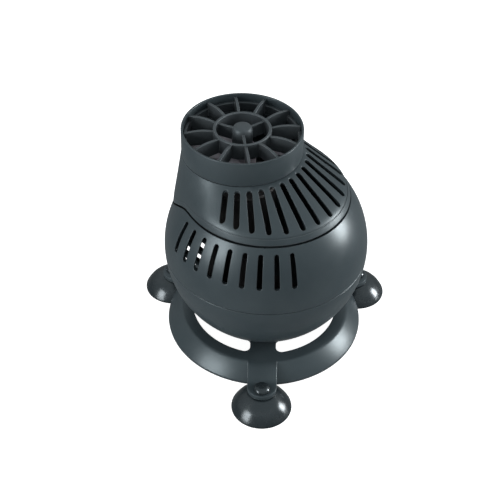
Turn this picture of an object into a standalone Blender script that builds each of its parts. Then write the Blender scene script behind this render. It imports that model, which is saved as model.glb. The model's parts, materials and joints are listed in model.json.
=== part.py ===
"""Wave maker pump: a ball-shaped circulation pump on a three-cup swivel base.

Metres, +Z up. Sizes below are in millimetres and are scaled once, when a mesh is made.
The base axis and the ball axis are one vertical line; the outlet axis stands beside it.
"""
import math

import bmesh
import bpy
from mathutils import Matrix, Vector

MM = 0.001

# ---- named clearances ----
GAP = 0.3              # between touching pieces
RUN = 0.3              # radial running gap on the shaft
WATER = 1.0            # around the rotor magnet

# ---- overall sizes ----
BALL_R = 53.8          # outside of the ball
BALL_FOOT = 8.34       # lowest point of the ball, above the ground
BALL_Z = BALL_FOOT + BALL_R
SHELL_T = 2.4          # wall of bowl and shell
SEAM_Z = -2.9          # seam, from the ball's centre
RIM_R = 42.6           # radius of the cap's edge at the front and right
RIM_FLARE = 5.8        # how far the edge stands out from the outlet neck, beside it
RIM_MAX = 51.2         # the edge's greatest radius, behind the neck
OUTLET_BEARING = 139.6  # bearing of the outlet axis from the ball axis
OUTLET_OFF = 17.7      # outlet axis from the ball axis
OUTLET_R = 31.2        # outside of the nozzle ring
CROWN_SINK = 2.64      # underside of the nozzle ring, below the ball's highest point
OUTLET_Z0 = BALL_Z + BALL_R - CROWN_SINK
NOZZLE_H = 14.0
OUTLET_Z1 = OUTLET_Z0 + NOZZLE_H
NOZZLE_T = 1.1
NECK_T = 1.8           # cap wall at the outlet
CAP_T = 2.2
CAP_PROUD = 0.2        # cap stands this far outside the shell
SHOULDER = 0.18        # rounding of the cap just above its edge
SHOULDER_RUN = 0.07    # share of the way up that the rounding takes

# ---- base ----
CUP_CIRCLE = 61.3
CUP_R = 15.9
HUB_TUCK = 1.5776      # the openings start this far inside the ball, at the plate
SLOT_OUT_R = 39.45
CREASE_R = 45.7
SKIRT_R = 53.3
PLATE_Z = 17.2
PLATE_T = 2.6
SKIRT_Z = 8.5
SPOKE_W = 13.8
ARM_W = 15.5
ARM_Z1 = 12.6
ARM_T = 2.5
ARM_BEARINGS = (-90.0, 30.0, 150.0)
CUP_NAMES = ("front", "right", "left")
CUP_NECK_R = 3.5
PAD_BACK = 2.4         # middle of the arm's round end, inward from the cup's axis
CUP_ROOM_R = 11.2      # skirt cut back over each cup, under its arm

# ---- cord gland at the back ----
GLAND_Z = -17.0        # from the ball's centre
GLAND_PROUD = 6.2
GLAND_REACH = BALL_R + GLAND_PROUD  # its outer face, from the ball axis
GLAND_R = 7.2
CORD_HOLE_R = 3.2

# ---- swivel clamp ----
LINING_T = 1.2
LINING_R0 = 14.4
LINING_R1 = 22.0
SEAT_CLEAR = 0.5       # between ball and bare seat
BOWL_HOLE_R = 12.5
DISC_R = 22.3
DISC_T = 1.8
SCREW_R = 2.0
TILT = 10.0

# ---- motor ----
CAPS_R = 18.5
CAPS_T = 1.5
CAPS_DROP = 18.3       # top of the capsule, below the nozzle ring
CAPS_H = 65.0
CAPS_Z1 = OUTLET_Z0 - CAPS_DROP
CAPS_Z0 = CAPS_Z1 - CAPS_H
WELL_R = 7.6
WELL_T = 1.0
WELL_DEPTH = 28.6
WELL_Z = CAPS_Z1 - WELL_DEPTH
SHAFT_R = 1.5
MAGNET_Z = (CAPS_Z1 - 23.0, CAPS_Z1 - 3.0)
ARM_X = (6.0, 11.0)
ARM_Y = 5.0
COIL_T = 3.0
COIL_Z = (CAPS_Z1 - 55.0, CAPS_Z1 - 32.0)
BOBBIN_T = 0.8
BOSS_R = 44.0          # motor screws, from the ball axis
BOSS_BEARINGS = (20.0, 107.0, 259.0)
EAR_Z = (CAPS_Z1 - 43.0, CAPS_Z1 - 40.0)

# ---- propeller ----
PROP_CLEAR = 3.8       # blade tips, inside the nozzle ring's outside
PROP_R = OUTLET_R - PROP_CLEAR
PROP_HUB_R = 7.2
PROP_Z = (OUTLET_Z0 - 8.7, OUTLET_Z0 + 2.3)
BLADES = 3
BLADE_T = 1.3
CLUTCH_R = 5.4
CLUTCH_TURN = 120.0

# ---- outlet guard ----
GUARD_Z0 = OUTLET_Z0 + 4.7
GUARD_Z1 = OUTLET_Z1 - 1.1
GUARD_ARCH = 1.1
GUARD_WALL = 3.4       # the guard's outer ring stops this far below its vanes
HUB_RISE = 2.0         # hub above the vanes
VANES = 12
VANE_T = 1.4
VANE_BEARING = 8.6
GUARD_RING_R = 14.5
GUARD_HUB_R = 5.3
GUARD_SPOKES = (38.0, 157.0, 278.0)

# ---- slots ----
SLOT_W = 2.8
CAP_SLOT_W = 3.0
CAP_SLOTS = 14
CAP_SLOT_TOP = (-102.5, 10.15)   # first slot's upper end and the spacing, about the outlet axis
CAP_SLOT_FOOT = (-100.5, 9.0)    # the same for the lower ends
CAP_SLOT_FOOT_R = 39.7           # lower ends, from the ball axis
CAP_SLOT_START = 1.4             # upper ends, outside the nozzle ring
SHELL_SLOTS = 9
SHELL_SLOT_AZ = 208.5
SHELL_SLOT_STEP = 9.76
SHELL_SLOT_Z = (12.2, 29.5)
BOWL_SLOTS = 6
BOWL_SLOT_AZ = 121.4
BOWL_SLOT_STEP = 10.0
BOWL_SLOT_LEAN = 5.4
BOWL_SLOT_Z = (-36.0, -21.5)

# ---- worked out ----
AXIS_Y = (CUP_CIRCLE + CUP_R - GLAND_REACH) / 2.0
OUT_X = OUTLET_OFF * math.cos(math.radians(OUTLET_BEARING))
OUT_Y = OUTLET_OFF * math.sin(math.radians(OUTLET_BEARING))
SEAT_R = BALL_R + GAP + LINING_T + GAP
HUB_R = math.sqrt((BALL_R + SEAT_CLEAR) ** 2 - (BALL_Z - PLATE_Z) ** 2) - HUB_TUCK
INNER_R = BALL_R - SHELL_T
STEPS = 48

PARTS = None
CUTTERS = None
BODIES = {}


# ---- small helpers ----
def fresh_scene():
    for obj in list(bpy.data.objects):
        bpy.data.objects.remove(obj, do_unlink=True)
    for coll in list(bpy.data.collections):
        bpy.data.collections.remove(coll)


def collection(name, hidden=False):
    coll = bpy.data.collections.new(name)
    bpy.context.scene.collection.children.link(coll)
    coll.hide_render = hidden
    return coll


def material(name, colour, roughness, metallic=0.0):
    mat = bpy.data.materials.new(name)
    mat.use_nodes = True
    shader = mat.node_tree.nodes["Principled BSDF"]
    shader.inputs["Base Color"].default_value = (*colour, 1.0)
    shader.inputs["Roughness"].default_value = roughness
    shader.inputs["Metallic"].default_value = metallic
    mat.diffuse_color = (*colour, 1.0)
    return mat


def unit(bearing):
    a = math.radians(bearing)
    return Vector((math.cos(a), math.sin(a), 0.0))


def sphere_z(radius, r, low=False):
    rise = math.sqrt(max(radius * radius - r * r, 0.0))
    return BALL_Z - rise if low else BALL_Z + rise


def arc(radius, z_from, z_to, count):
    """Points (r, z) on a sphere's outline, from one height to another, from the centre."""
    a0 = math.asin(z_from / radius)
    a1 = math.asin(z_to / radius)
    points = []
    for i in range(count + 1):
        a = a0 + (a1 - a0) * i / count
        points.append((radius * math.cos(a), BALL_Z + radius * math.sin(a)))
    return points


def place(name, mesh, at=(0.0, 0.0, 0.0), cutter=False):
    obj = bpy.data.objects.new(name, mesh)
    obj.location = Vector((at[0], at[1] + AXIS_Y, at[2])) * MM
    target = CUTTERS if cutter else PARTS
    target.objects.link(obj)
    if cutter:
        obj.hide_render = True
        obj.display_type = "WIRE"
    return obj


def loft_mesh(name, verts, faces):
    """A mesh in metres from millimetre points, with its faces turned outward."""
    mesh = bpy.data.meshes.new(name)
    mesh.from_pydata([Vector(v) * MM for v in verts], [], list(faces))
    work = bmesh.new()
    work.from_mesh(mesh)
    bmesh.ops.recalc_face_normals(work, faces=work.faces)
    work.to_mesh(mesh)
    work.free()
    return mesh


def primitive(name, kind, turn, **sizes):
    """A cube or a cone primitive in its final place, in metres."""
    mesh = bpy.data.meshes.new(name)
    work = bmesh.new()
    kind(work, matrix=Matrix.Scale(MM, 4) @ turn, **sizes)
    work.to_mesh(mesh)
    work.free()
    return mesh


def cylinder(name, r, z0, z1, centre=(0.0, 0.0), count=24):
    middle = Matrix.Translation((centre[0], centre[1], (z0 + z1) / 2.0))
    return primitive(name, bmesh.ops.create_cone, middle, cap_ends=True, segments=count,
                     radius1=r, radius2=r, depth=z1 - z0)


def cylinder_y(name, r, y0, y1, z, count=24):
    middle = Matrix.Translation((0.0, (y0 + y1) / 2.0, z)) @ Matrix.Rotation(math.radians(-90.0), 4, "X")
    return primitive(name, bmesh.ops.create_cone, middle, cap_ends=True, segments=count,
                     radius1=r, radius2=r, depth=y1 - y0)


def block(name, x, y, z):
    """A box between two values on each axis."""
    middle = Matrix.Translation(((x[0] + x[1]) / 2.0, (y[0] + y[1]) / 2.0, (z[0] + z[1]) / 2.0))
    spread = Matrix.Diagonal((x[1] - x[0], y[1] - y[0], z[1] - z[0], 1.0))
    return primitive(name, bmesh.ops.create_cube, middle @ spread, size=1.0)


def plate(name, outlines, z0, z1, turn=None):
    """Flat outlines filled and thickened between two heights, then turned into place."""
    curve = bpy.data.curves.new(name, "CURVE")
    curve.dimensions = "2D"
    curve.fill_mode = "BOTH"
    curve.extrude = (z1 - z0) / 2.0 * MM
    for outline in outlines:
        spline = curve.splines.new("POLY")
        spline.points.add(len(outline) - 1)
        for point, (x, y) in zip(spline.points, outline):
            point.co = (x * MM, y * MM, 0.0, 1.0)
        spline.use_cyclic_u = True
    holder = bpy.data.objects.new(name, curve)
    CUTTERS.objects.link(holder)
    bpy.context.view_layer.update()
    mesh = bpy.data.meshes.new_from_object(holder.evaluated_get(bpy.context.evaluated_depsgraph_get()))
    bpy.data.objects.remove(holder, do_unlink=True)
    bpy.data.curves.remove(curve)
    lift = Matrix.Translation((0.0, 0.0, (z0 + z1) / 2.0 * MM))
    work = bmesh.new()
    work.from_mesh(mesh)
    bmesh.ops.remove_doubles(work, verts=work.verts, dist=0.000001)
    bmesh.ops.transform(work, matrix=turn @ lift if turn else lift, verts=work.verts)
    bmesh.ops.recalc_face_normals(work, faces=work.faces)
    work.to_mesh(mesh)
    work.free()
    return mesh


def standing_plate(name, outline, width, bearing, centre=(0.0, 0.0)):
    """A plate on edge: its outline runs out along a bearing and up."""
    turn = Matrix.Translation(Vector((centre[0], centre[1], 0.0)) * MM)
    turn = turn @ Matrix.Rotation(math.radians(bearing), 4, "Z") @ Matrix.Rotation(math.radians(90.0), 4, "X")
    return plate(name, [outline], -width / 2.0, width / 2.0, turn)


def joined(name, meshes):
    """Several meshes as one."""
    work = bmesh.new()
    for mesh in meshes:
        work.from_mesh(mesh)
        bpy.data.meshes.remove(mesh)
    whole = bpy.data.meshes.new(name)
    work.to_mesh(whole)
    work.free()
    return whole


def revolve(name, profile, at=(0.0, 0.0), steps=STEPS, cutter=False):
    """Turn a closed outline, down its outer side first, about a vertical axis."""
    on_axis = [i for i, p in enumerate(profile) if p[0] < 1e-6]
    count = len(profile)
    edges = [(i, (i + 1) % count) for i in range(count)]
    if len(on_axis) == 2:
        edges = [e for e in edges if not (e[0] in on_axis and e[1] in on_axis)]
    mesh = bpy.data.meshes.new(name)
    mesh.from_pydata([Vector((r, 0.0, z)) * MM for r, z in profile], edges, [])
    obj = place(name, mesh, (at[0], at[1], 0.0), cutter)
    screw = obj.modifiers.new("turn", "SCREW")
    screw.axis = "Z"
    screw.angle = math.tau
    screw.steps = steps
    screw.render_steps = steps
    screw.use_merge_vertices = True
    screw.merge_threshold = 0.00002
    screw.use_normal_calculate = False
    return obj


def rounded(x0, x1, y0, y1, corner, count=4):
    """The outline of a rectangle with rounded corners."""
    points = []
    centres = ((x1 - corner, y1 - corner, 0), (x0 + corner, y1 - corner, 90),
               (x0 + corner, y0 + corner, 180), (x1 - corner, y0 + corner, 270))
    for cx, cy, start in centres:
        for i in range(count + 1):
            a = math.radians(start + 90.0 * i / count)
            points.append((cx + corner * math.cos(a), cy + corner * math.sin(a)))
    return points


def rings_body(rings):
    """Close a stack of equal rings into one body; the last ring joins the first."""
    count = len(rings[0])
    verts = [v for ring in rings for v in ring]
    faces = []
    for k in range(len(rings)):
        a = k * count
        b = ((k + 1) % len(rings)) * count
        for i in range(count):
            j = (i + 1) % count
            faces.append((a + i, a + j, b + j, b + i))
    return verts, faces


def combine(obj, other, operation):
    mod = obj.modifiers.new(operation.lower(), "BOOLEAN")
    mod.operation = operation
    mod.solver = "EXACT"
    mod.object = other
    return mod


def cutter(mesh, at=(0.0, 0.0, 0.0)):
    return place(mesh.name, mesh, at, cutter=True)


def dress(obj, body, mat):
    obj.data.materials.clear()
    obj.data.materials.append(mat)
    empty = BODIES[body]
    obj.parent = empty
    obj.matrix_parent_inverse = empty.matrix_world.inverted()
    return obj


def body(name, x, y, z):
    empty = bpy.data.objects.new("body_" + name, None)
    empty.location = Vector((x, y + AXIS_Y, z)) * MM
    empty.empty_display_size = 0.01
    PARTS.objects.link(empty)
    BODIES[name] = empty
    bpy.context.view_layer.update()
    return empty


# ---- base ----
def seat_arc(radius, r0, r1, count):
    return [(r0 + (r1 - r0) * i / count,
             sphere_z(radius, r0 + (r1 - r0) * i / count, low=True)) for i in range(count + 1)]


def slot_end(bearing, side):
    """The rounded end of a base slot beside one spoke, from its inner wall to its outer wall."""
    fillet = 3.0
    y = SPOKE_W / 2.0 + fillet
    points = []
    for r, inward in ((HUB_R + fillet, True), (SLOT_OUT_R - fillet, False)):
        x = math.sqrt(r * r - y * y)
        lean = math.degrees(math.atan2(y, x))
        start, stop = (lean - 180.0, -90.0) if inward else (-90.0, lean)
        for i in range(4):
            a = math.radians(start + (stop - start) * i / 3.0)
            points.append((x + fillet * math.cos(a), side * (y + fillet * math.sin(a))))
    out = unit(bearing)
    return [(out.x * px - out.y * py, out.y * px + out.x * py) for px, py in points]


def arc_slot(bearing):
    """The outline of the opening between two spokes, with rounded corners."""
    first = slot_end(bearing - 60.0, 1.0)
    last = slot_end(bearing + 60.0, -1.0)
    points = list(first)
    for p, q, r in ((first[-1], last[-1], SLOT_OUT_R), (last[0], first[0], HUB_R)):
        a0 = math.degrees(math.atan2(p[1], p[0]))
        a1 = math.degrees(math.atan2(q[1], q[0]))
        turn = (a1 - a0 + 180.0) % 360.0 - 180.0
        for i in range(1, 9):
            w = unit(a0 + turn * i / 9.0) * r
            points.append((w.x, w.y))
        if r == SLOT_OUT_R:
            points += last[::-1]
    return points


def base_ring():
    under = PLATE_Z - PLATE_T
    profile = [(CREASE_R, PLATE_Z), (CREASE_R + 0.9, PLATE_Z - 0.35), (SKIRT_R, SKIRT_Z),
               (SKIRT_R, SKIRT_Z - 1.3),
               (SKIRT_R - 2.2, SKIRT_Z - 1.3), (CREASE_R - 1.2, under), (HUB_R, under), (HUB_R - 2.9, 12.3),
               (HUB_R - 7.9, 7.6), (HUB_R - 11.5, 4.2), (SCREW_R + GAP, 4.2)]
    bare = BALL_R + SEAT_CLEAR
    profile += seat_arc(bare, SCREW_R + GAP, LINING_R0 - 0.5, 2)
    profile += seat_arc(SEAT_R, LINING_R0 - 0.5, LINING_R1 + 0.5, 2)
    profile += seat_arc(bare, LINING_R1 + 0.5, math.sqrt(bare ** 2 - (BALL_Z - PLATE_Z) ** 2), 3)
    ring = revolve("base_ring", profile, steps=60)
    outlines = [arc_slot(b + 60.0) for b in ARM_BEARINGS]
    slots = cutter(plate("cut_base_slots", outlines, under - 1.0, PLATE_Z + 1.5))
    combine(ring, slots, "DIFFERENCE")
    side = [(SLOT_OUT_R + 1.0, under + 0.6), (SLOT_OUT_R + 1.0, PLATE_Z - 0.02),
            (CREASE_R + 1.0, PLATE_Z - 0.02), (CUP_CIRCLE - 4.0, ARM_Z1),
            (CUP_CIRCLE - PAD_BACK, ARM_Z1), (CUP_CIRCLE - PAD_BACK, ARM_Z1 - ARM_T),
            (CREASE_R + 2.0, ARM_Z1 - ARM_T)]
    for name, bearing in zip(CUP_NAMES, ARM_BEARINGS):
        arm = cutter(standing_plate("add_arm_" + name, side, ARM_W, bearing))
        combine(ring, arm, "UNION")
        pad = unit(bearing) * (CUP_CIRCLE - PAD_BACK)
        tip = unit(bearing) * CUP_CIRCLE
        mesh = cylinder("add_pad_" + name, ARM_W / 2.0 - 0.15, ARM_Z1 - ARM_T + 0.1, ARM_Z1 - 0.1, pad, 24)
        combine(ring, cutter(mesh), "UNION")
        mesh = cylinder("cut_neck_" + name, CUP_NECK_R + GAP, 7.0, 20.0, tip, 16)
        combine(ring, cutter(mesh), "DIFFERENCE")
        mesh = cylinder("cut_room_" + name, CUP_ROOM_R, 3.0, ARM_Z1 - ARM_T - 0.4, tip, 24)
        combine(ring, cutter(mesh), "DIFFERENCE")
    return ring


def suction_cup(name, bearing):
    tip = unit(bearing) * CUP_CIRCLE
    neck = ARM_Z1 + GAP
    low = ARM_Z1 - ARM_T - GAP
    profile = [(0.0, neck + 2.6), (2.6, neck + 2.2), (4.3, neck + 0.9), (4.2, neck),
               (CUP_NECK_R, neck), (CUP_NECK_R, low), (5.4, low), (8.2, low - 1.1),
               (12.0, low - 3.6), (15.0, low - 7.6), (CUP_R, 0.7), (CUP_R, 0.0),
               (CUP_R - 1.8, 0.0), (11.4, 3.3), (5.0, 6.0), (0.0, 6.6)]
    return revolve("suction_cup_" + name, profile, at=(tip.x, tip.y), steps=24)


def clamp_parts(rubber, steel, plastic):
    inner = BALL_R - SHELL_T - GAP
    profile = [(0.0, 22.6), (SCREW_R - 0.5, 22.6), (SCREW_R, 22.1), (SCREW_R, 3.7), (4.4, 3.7), (4.4, 2.4),
               (3.4, 1.5), (0.0, 1.5)]
    screw = revolve("swivel_screw", profile, steps=24)
    dress(screw, "base", steel)
    bottom = seat_arc(inner, SCREW_R + GAP, DISC_R, 4)
    top = seat_arc(inner - DISC_T, 7.5, DISC_R, 3)
    seat = sphere_z(inner - DISC_T, 7.5, low=True) + 1.0
    profile = [(7.5, seat)] + top[1:] + bottom[::-1] + [(SCREW_R + GAP, seat)]
    disc = revolve("clamp_disc", profile, steps=32)
    dress(disc, "base", plastic)
    z = seat + GAP
    bore = SCREW_R + GAP
    spring = revolve("clamp_spring", [(6.2, z + 0.9), (6.2, z + 0.5), (bore, z), (bore, z + 0.5)], steps=20)
    dress(spring, "base", steel)
    z = z + 0.9 + GAP
    nut = place("clamp_nut", cylinder("clamp_nut", 4.3, z, z + 3.2, count=6))
    hole = cutter(cylinder("cut_nut", SCREW_R + GAP, z - 1.0, z + 6.0, count=20))
    combine(nut, hole, "DIFFERENCE")
    dress(nut, "base", steel)
    outer = BALL_R + GAP
    profile = seat_arc(outer, LINING_R0, LINING_R1, 3)[::-1]
    low = seat_arc(outer + LINING_T, LINING_R0, LINING_R1, 3)
    lining = revolve("swivel_lining", [profile[0]] + low[::-1] + profile[:0:-1], steps=40)
    dress(lining, "swivel", rubber)


# ---- ball ----
def meridian_slot(az_top, az_low, z_top, z_low):
    """A slot with cut corners that follows the ball's surface, reaching through its wall."""
    low = math.asin(z_low / BALL_R)
    span = math.asin(z_top / BALL_R) - low
    half = SLOT_W / 2.0
    end = half / BALL_R / span
    inner = INNER_R - 1.2
    outer = BALL_R + 1.5
    verts = []
    for s, w in ((0.0, 0.5), (0.5 * end, 0.9), (end, 1.0), (0.5, 1.0), (1.0 - end, 1.0),
                 (1.0 - 0.5 * end, 0.9), (1.0, 0.5)):
        lat = low + span * s
        az = az_low + (az_top - az_low) * s
        side = unit(az + 90.0) * (half * w)
        for radius, sign in ((inner, -1.0), (outer, -1.0), (outer, 1.0), (inner, 1.0)):
            centre = unit(az) * (radius * math.cos(lat)) + Vector((0.0, 0.0, BALL_Z + radius * math.sin(lat)))
            verts.append(tuple(centre + side * sign))
    count = len(verts)
    faces = [(0, 1, 2, 3), (count - 1, count - 2, count - 3, count - 4)]
    for k in range(0, count - 4, 4):
        for i in range(4):
            j = (i + 1) % 4
            faces.append((k + i, k + j, k + 4 + j, k + 4 + i))
    return loft_mesh("slot", verts, faces)


def lower_bowl():
    seam = SEAM_Z
    hole_out = -math.sqrt(BALL_R ** 2 - BOWL_HOLE_R ** 2)
    hole_in = -math.sqrt(INNER_R ** 2 - BOWL_HOLE_R ** 2)
    lip_r = INNER_R - GAP
    lip_z = BALL_Z + seam + 3.2
    outer = arc(BALL_R, seam, hole_out, 8)
    inner = arc(INNER_R, hole_in, seam - 2.4, 7)
    lip = [(lip_r - 1.6, BALL_Z + seam - 0.6), (lip_r - 1.6, lip_z), (lip_r - 0.2, lip_z),
           (lip_r - 0.2, BALL_Z + seam)]
    bowl = revolve("lower_bowl", outer + inner + lip)
    profile = arc(BALL_R - 0.9, 50.0, -50.0, 12) + [(0.0, BALL_Z - 50.0), (0.0, BALL_Z + 50.0)]
    ball = revolve("ball_limit", profile, cutter=True)
    for i, bearing in enumerate(BOSS_BEARINGS):
        p = unit(bearing) * BOSS_R
        post = cutter(cylinder("add_boss_%d" % (i + 1), 3.4, BALL_FOOT, EAR_Z[0] - GAP, p, 12))
        combine(post, ball, "INTERSECT")
        combine(bowl, post, "UNION")
        hole = cutter(cylinder("cut_boss_%d" % (i + 1), 1.5, EAR_Z[0] - 6.6, EAR_Z[0] + 2.0, p, 10))
        combine(bowl, hole, "DIFFERENCE")
    shapes = []
    for i in range(BOWL_SLOTS):
        az = BOWL_SLOT_AZ + BOWL_SLOT_STEP * i
        shapes.append(meridian_slot(az + BOWL_SLOT_LEAN, az - BOWL_SLOT_LEAN, BOWL_SLOT_Z[1], BOWL_SLOT_Z[0]))
    combine(bowl, cutter(joined("cut_bowl_slots", shapes)), "DIFFERENCE")
    gland_hole = cutter(cylinder_y("cut_gland", GLAND_R - 1.6, BALL_R - 9.8, BALL_R + 4.2, BALL_Z + GLAND_Z, 20))
    combine(bowl, gland_hole, "DIFFERENCE")
    return bowl


def rim_radius(bearing):
    """The cap's edge seen from above: a circle, pushed out where the outlet neck stands past it."""
    along = OUTLET_OFF * math.cos(math.radians(bearing - OUTLET_BEARING))
    neck = along + math.sqrt(max(along * along - OUTLET_OFF ** 2 + OUTLET_R ** 2, 0.0))
    flared = neck + RIM_FLARE
    out = (flared + RIM_MAX - math.sqrt((flared - RIM_MAX) ** 2 + 6.0)) / 2.0
    return (RIM_R + out + math.sqrt((RIM_R - out) ** 2 + 6.0)) / 2.0


def rim_from_outlet(tau):
    """Distance from the outlet axis to the cap's edge, along a bearing from that axis."""
    out = unit(tau)
    low = 10.0
    high = 90.0
    for _ in range(40):
        mid = (low + high) / 2.0
        x = OUT_X + out.x * mid
        y = OUT_Y + out.y * mid
        if math.hypot(x, y) < rim_radius(math.degrees(math.atan2(y, x))):
            low = mid
        else:
            high = mid
    return low


def shell_opening():
    """The volume the cap closes: its sides run straight out from the ball's centre."""
    count = 48
    verts = []
    faces = []
    edge = GAP + 0.1
    for scale in (0.86, 1.16):
        for i in range(count):
            a = 360.0 * i / count
            r = rim_radius(a)
            z = math.sqrt(BALL_R ** 2 - r * r)
            lat = math.atan2(z, r) - edge / BALL_R
            p = unit(a) * (BALL_R * scale * math.cos(lat))
            verts.append((p.x, p.y, BALL_Z + BALL_R * scale * math.sin(lat)))
    verts.append((0.0, 0.0, BALL_Z + 0.30 * BALL_R))
    verts.append((0.0, 0.0, BALL_Z + 1.5 * BALL_R))
    for i in range(count):
        j = (i + 1) % count
        faces.append((i, j, count + j, count + i))
        faces.append((2 * count, j, i))
        faces.append((2 * count + 1, count + i, count + j))
    return loft_mesh("cut_shell_opening", verts, faces)


def upper_shell():
    seam = SEAM_Z + GAP
    top = math.sqrt(BALL_R ** 2 - RIM_R ** 2) + 7.14
    outer = arc(BALL_R, top, seam, 8)
    inner = arc(INNER_R, seam, top - 2.0, 7)
    shell = revolve("upper_shell", outer + inner)
    combine(shell, cutter(shell_opening()), "DIFFERENCE")
    shapes = []
    for i in range(SHELL_SLOTS):
        az = SHELL_SLOT_AZ + SHELL_SLOT_STEP * i
        shapes.append(meridian_slot(az, az, SHELL_SLOT_Z[1], SHELL_SLOT_Z[0]))
    combine(shell, cutter(joined("cut_shell_slots", shapes)), "DIFFERENCE")
    return shell


# ---- cap ----
def cap_point(tau, t, wall):
    """A point on the cap's outer skin, or on its inner skin when wall is above zero."""
    out = unit(tau)
    rho = rim_from_outlet(tau)
    edge = Vector((OUT_X, OUT_Y, 0.0)) + out * rho
    top = Vector((OUT_X, OUT_Y, 0.0)) + out * (OUTLET_R - NECK_T * wall / CAP_T)
    radius = BALL_R + CAP_PROUD - wall
    if wall > 0.0:
        edge = edge * ((radius - 2.6) / (BALL_R + CAP_PROUD))
    p = edge.lerp(top, t)
    foot = sphere_z(radius, math.hypot(edge.x, edge.y))
    spread = min(max((rho - OUTLET_R) / 12.0, 0.0), 1.0)
    rise = t + SHOULDER * spread * (1.0 - t) * (1.0 - math.exp(-t / SHOULDER_RUN))
    return (p.x, p.y, foot + (OUTLET_Z0 - foot) * rise)


def cap_shell():
    count = 60
    taus = [360.0 * i / count for i in range(count)]
    rings = []
    for t in (0.0, 0.04, 0.1, 0.22, 0.6, 1.0):
        rings.append([cap_point(tau, t, 0.0) for tau in taus])
    for t in (1.0, 0.5, 0.2, 0.08, 0.0):
        rings.append([cap_point(tau, t, CAP_T) for tau in taus])
    inner = rings[-1]
    outer = rings[0]
    foot_in = []
    foot_out = []
    shoulder = []
    for a, b in zip(inner, outer):
        bearing = math.degrees(math.atan2(b[1], b[0]))
        rim = math.hypot(b[0], b[1])
        r_out = rim * (INNER_R / BALL_R) - GAP - 0.15
        spigot_z = b[2] - 4.6
        p = unit(bearing) * r_out
        foot_in.append((a[0], a[1], spigot_z))
        foot_out.append((p.x, p.y, spigot_z))
        shoulder.append((p.x, p.y, b[2] - 0.9))
    rings += [foot_in, foot_out, shoulder]
    verts, faces = rings_body(rings)
    cap = place("cap_shell", loft_mesh("cap_shell", verts, faces))
    outlines = []
    for i in range(CAP_SLOTS):
        top_a = CAP_SLOT_TOP[0] + CAP_SLOT_TOP[1] * i
        foot_a = CAP_SLOT_FOOT[0] + CAP_SLOT_FOOT[1] * i
        start = Vector((OUT_X, OUT_Y, 0.0)) + unit(top_a) * (OUTLET_R + CAP_SLOT_START)
        out = unit(foot_a)
        along = OUT_X * out.x + OUT_Y * out.y
        reach = -along + math.sqrt(along * along - OUTLET_OFF ** 2 + CAP_SLOT_FOOT_R ** 2)
        end = Vector((OUT_X, OUT_Y, 0.0)) + out * reach
        outlines.append(stadium(start, end, CAP_SLOT_W))
    combine(cap, cutter(plate("cut_cap_slots", outlines, BALL_Z + 17.86, OUTLET_Z1 + 2.7)), "DIFFERENCE")
    return cap


def stadium(start, end, width):
    """A round-ended outline from one point to another."""
    way = (end - start).normalized()
    side = Vector((-way.y, way.x, 0.0))
    half = width / 2.0
    points = []
    for centre, turn in ((end - way * half, -90.0), (start + way * half, 90.0)):
        for i in range(4):
            a = math.radians(turn + 60.0 * i)
            p = centre + way * (half * math.cos(a)) + side * (half * math.sin(a))
            points.append((p.x, p.y))
    return points


def nozzle_ring():
    neck = OUTLET_R - NECK_T
    inner = OUTLET_R - NOZZLE_T
    z0 = OUTLET_Z0 + GAP
    profile = [(OUTLET_R - 0.2, OUTLET_Z1), (OUTLET_R, OUTLET_Z1 - 0.25), (OUTLET_R, z0), (neck - GAP, z0),
               (neck - GAP, z0 - 2.2), (PROP_R + 0.7, z0 - 2.2), (PROP_R + 0.7, GUARD_Z0 - GAP),
               (inner, GUARD_Z0 - GAP), (inner, OUTLET_Z1 - 0.2), (inner + 0.2, OUTLET_Z1)]
    return revolve("nozzle_ring", profile, at=(OUT_X, OUT_Y), steps=60)


def guard_vane(r0, r1):
    """The side outline of one vane, arched along its top."""
    outline = []
    for k in range(5):
        s = k / 4.0
        outline.append((r0 + (r1 - r0) * s, GUARD_Z1 - 0.4 + GUARD_ARCH * math.sin(math.pi * s)))
    outline += [(r1, GUARD_Z0 + 0.35), (r0, GUARD_Z0 + 0.35)]
    return outline


def outlet_guard():
    at = (OUT_X, OUT_Y)
    ring_out = OUTLET_R - NOZZLE_T - GAP
    top = GUARD_Z1
    low = GUARD_Z0
    wall = top - GUARD_WALL
    hub_top = top + HUB_RISE
    guard = revolve("outlet_guard", [(ring_out, wall), (ring_out, low), (ring_out - 1.3, low),
                                     (ring_out - 1.3, wall)], at=at, steps=48)
    inner = revolve("add_guard_ring", [(GUARD_RING_R, top), (GUARD_RING_R, low), (GUARD_RING_R - 1.5, low),
                                       (GUARD_RING_R - 1.5, top)], at=at, steps=36, cutter=True)
    hub = revolve("add_guard_hub", [(0.0, hub_top), (3.0, hub_top - 0.25), (4.4, hub_top - 1.1),
                                    (GUARD_HUB_R, hub_top - 3.2), (GUARD_HUB_R, low), (3.2, low), (3.2, low + 5.3),
                                    (0.0, low + 5.3)], at=at, steps=20, cutter=True)
    outline = guard_vane(GUARD_RING_R - 0.7, ring_out - 0.15)
    vanes = []
    for i in range(VANES):
        vanes.append(standing_plate("vane", outline, VANE_T, VANE_BEARING + 360.0 / VANES * i, at))
    outline = [(GUARD_HUB_R - 1.0, hub_top - 2.2), (GUARD_RING_R - 0.7, top - 0.5),
               (GUARD_RING_R - 0.7, low + 0.5), (GUARD_HUB_R - 1.0, low + 0.5)]
    for bearing in GUARD_SPOKES:
        vanes.append(standing_plate("spoke", outline, VANE_T, bearing, at))
    for other in (inner, hub, cutter(joined("add_vanes", vanes))):
        combine(guard, other, "UNION")
    return guard


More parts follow.
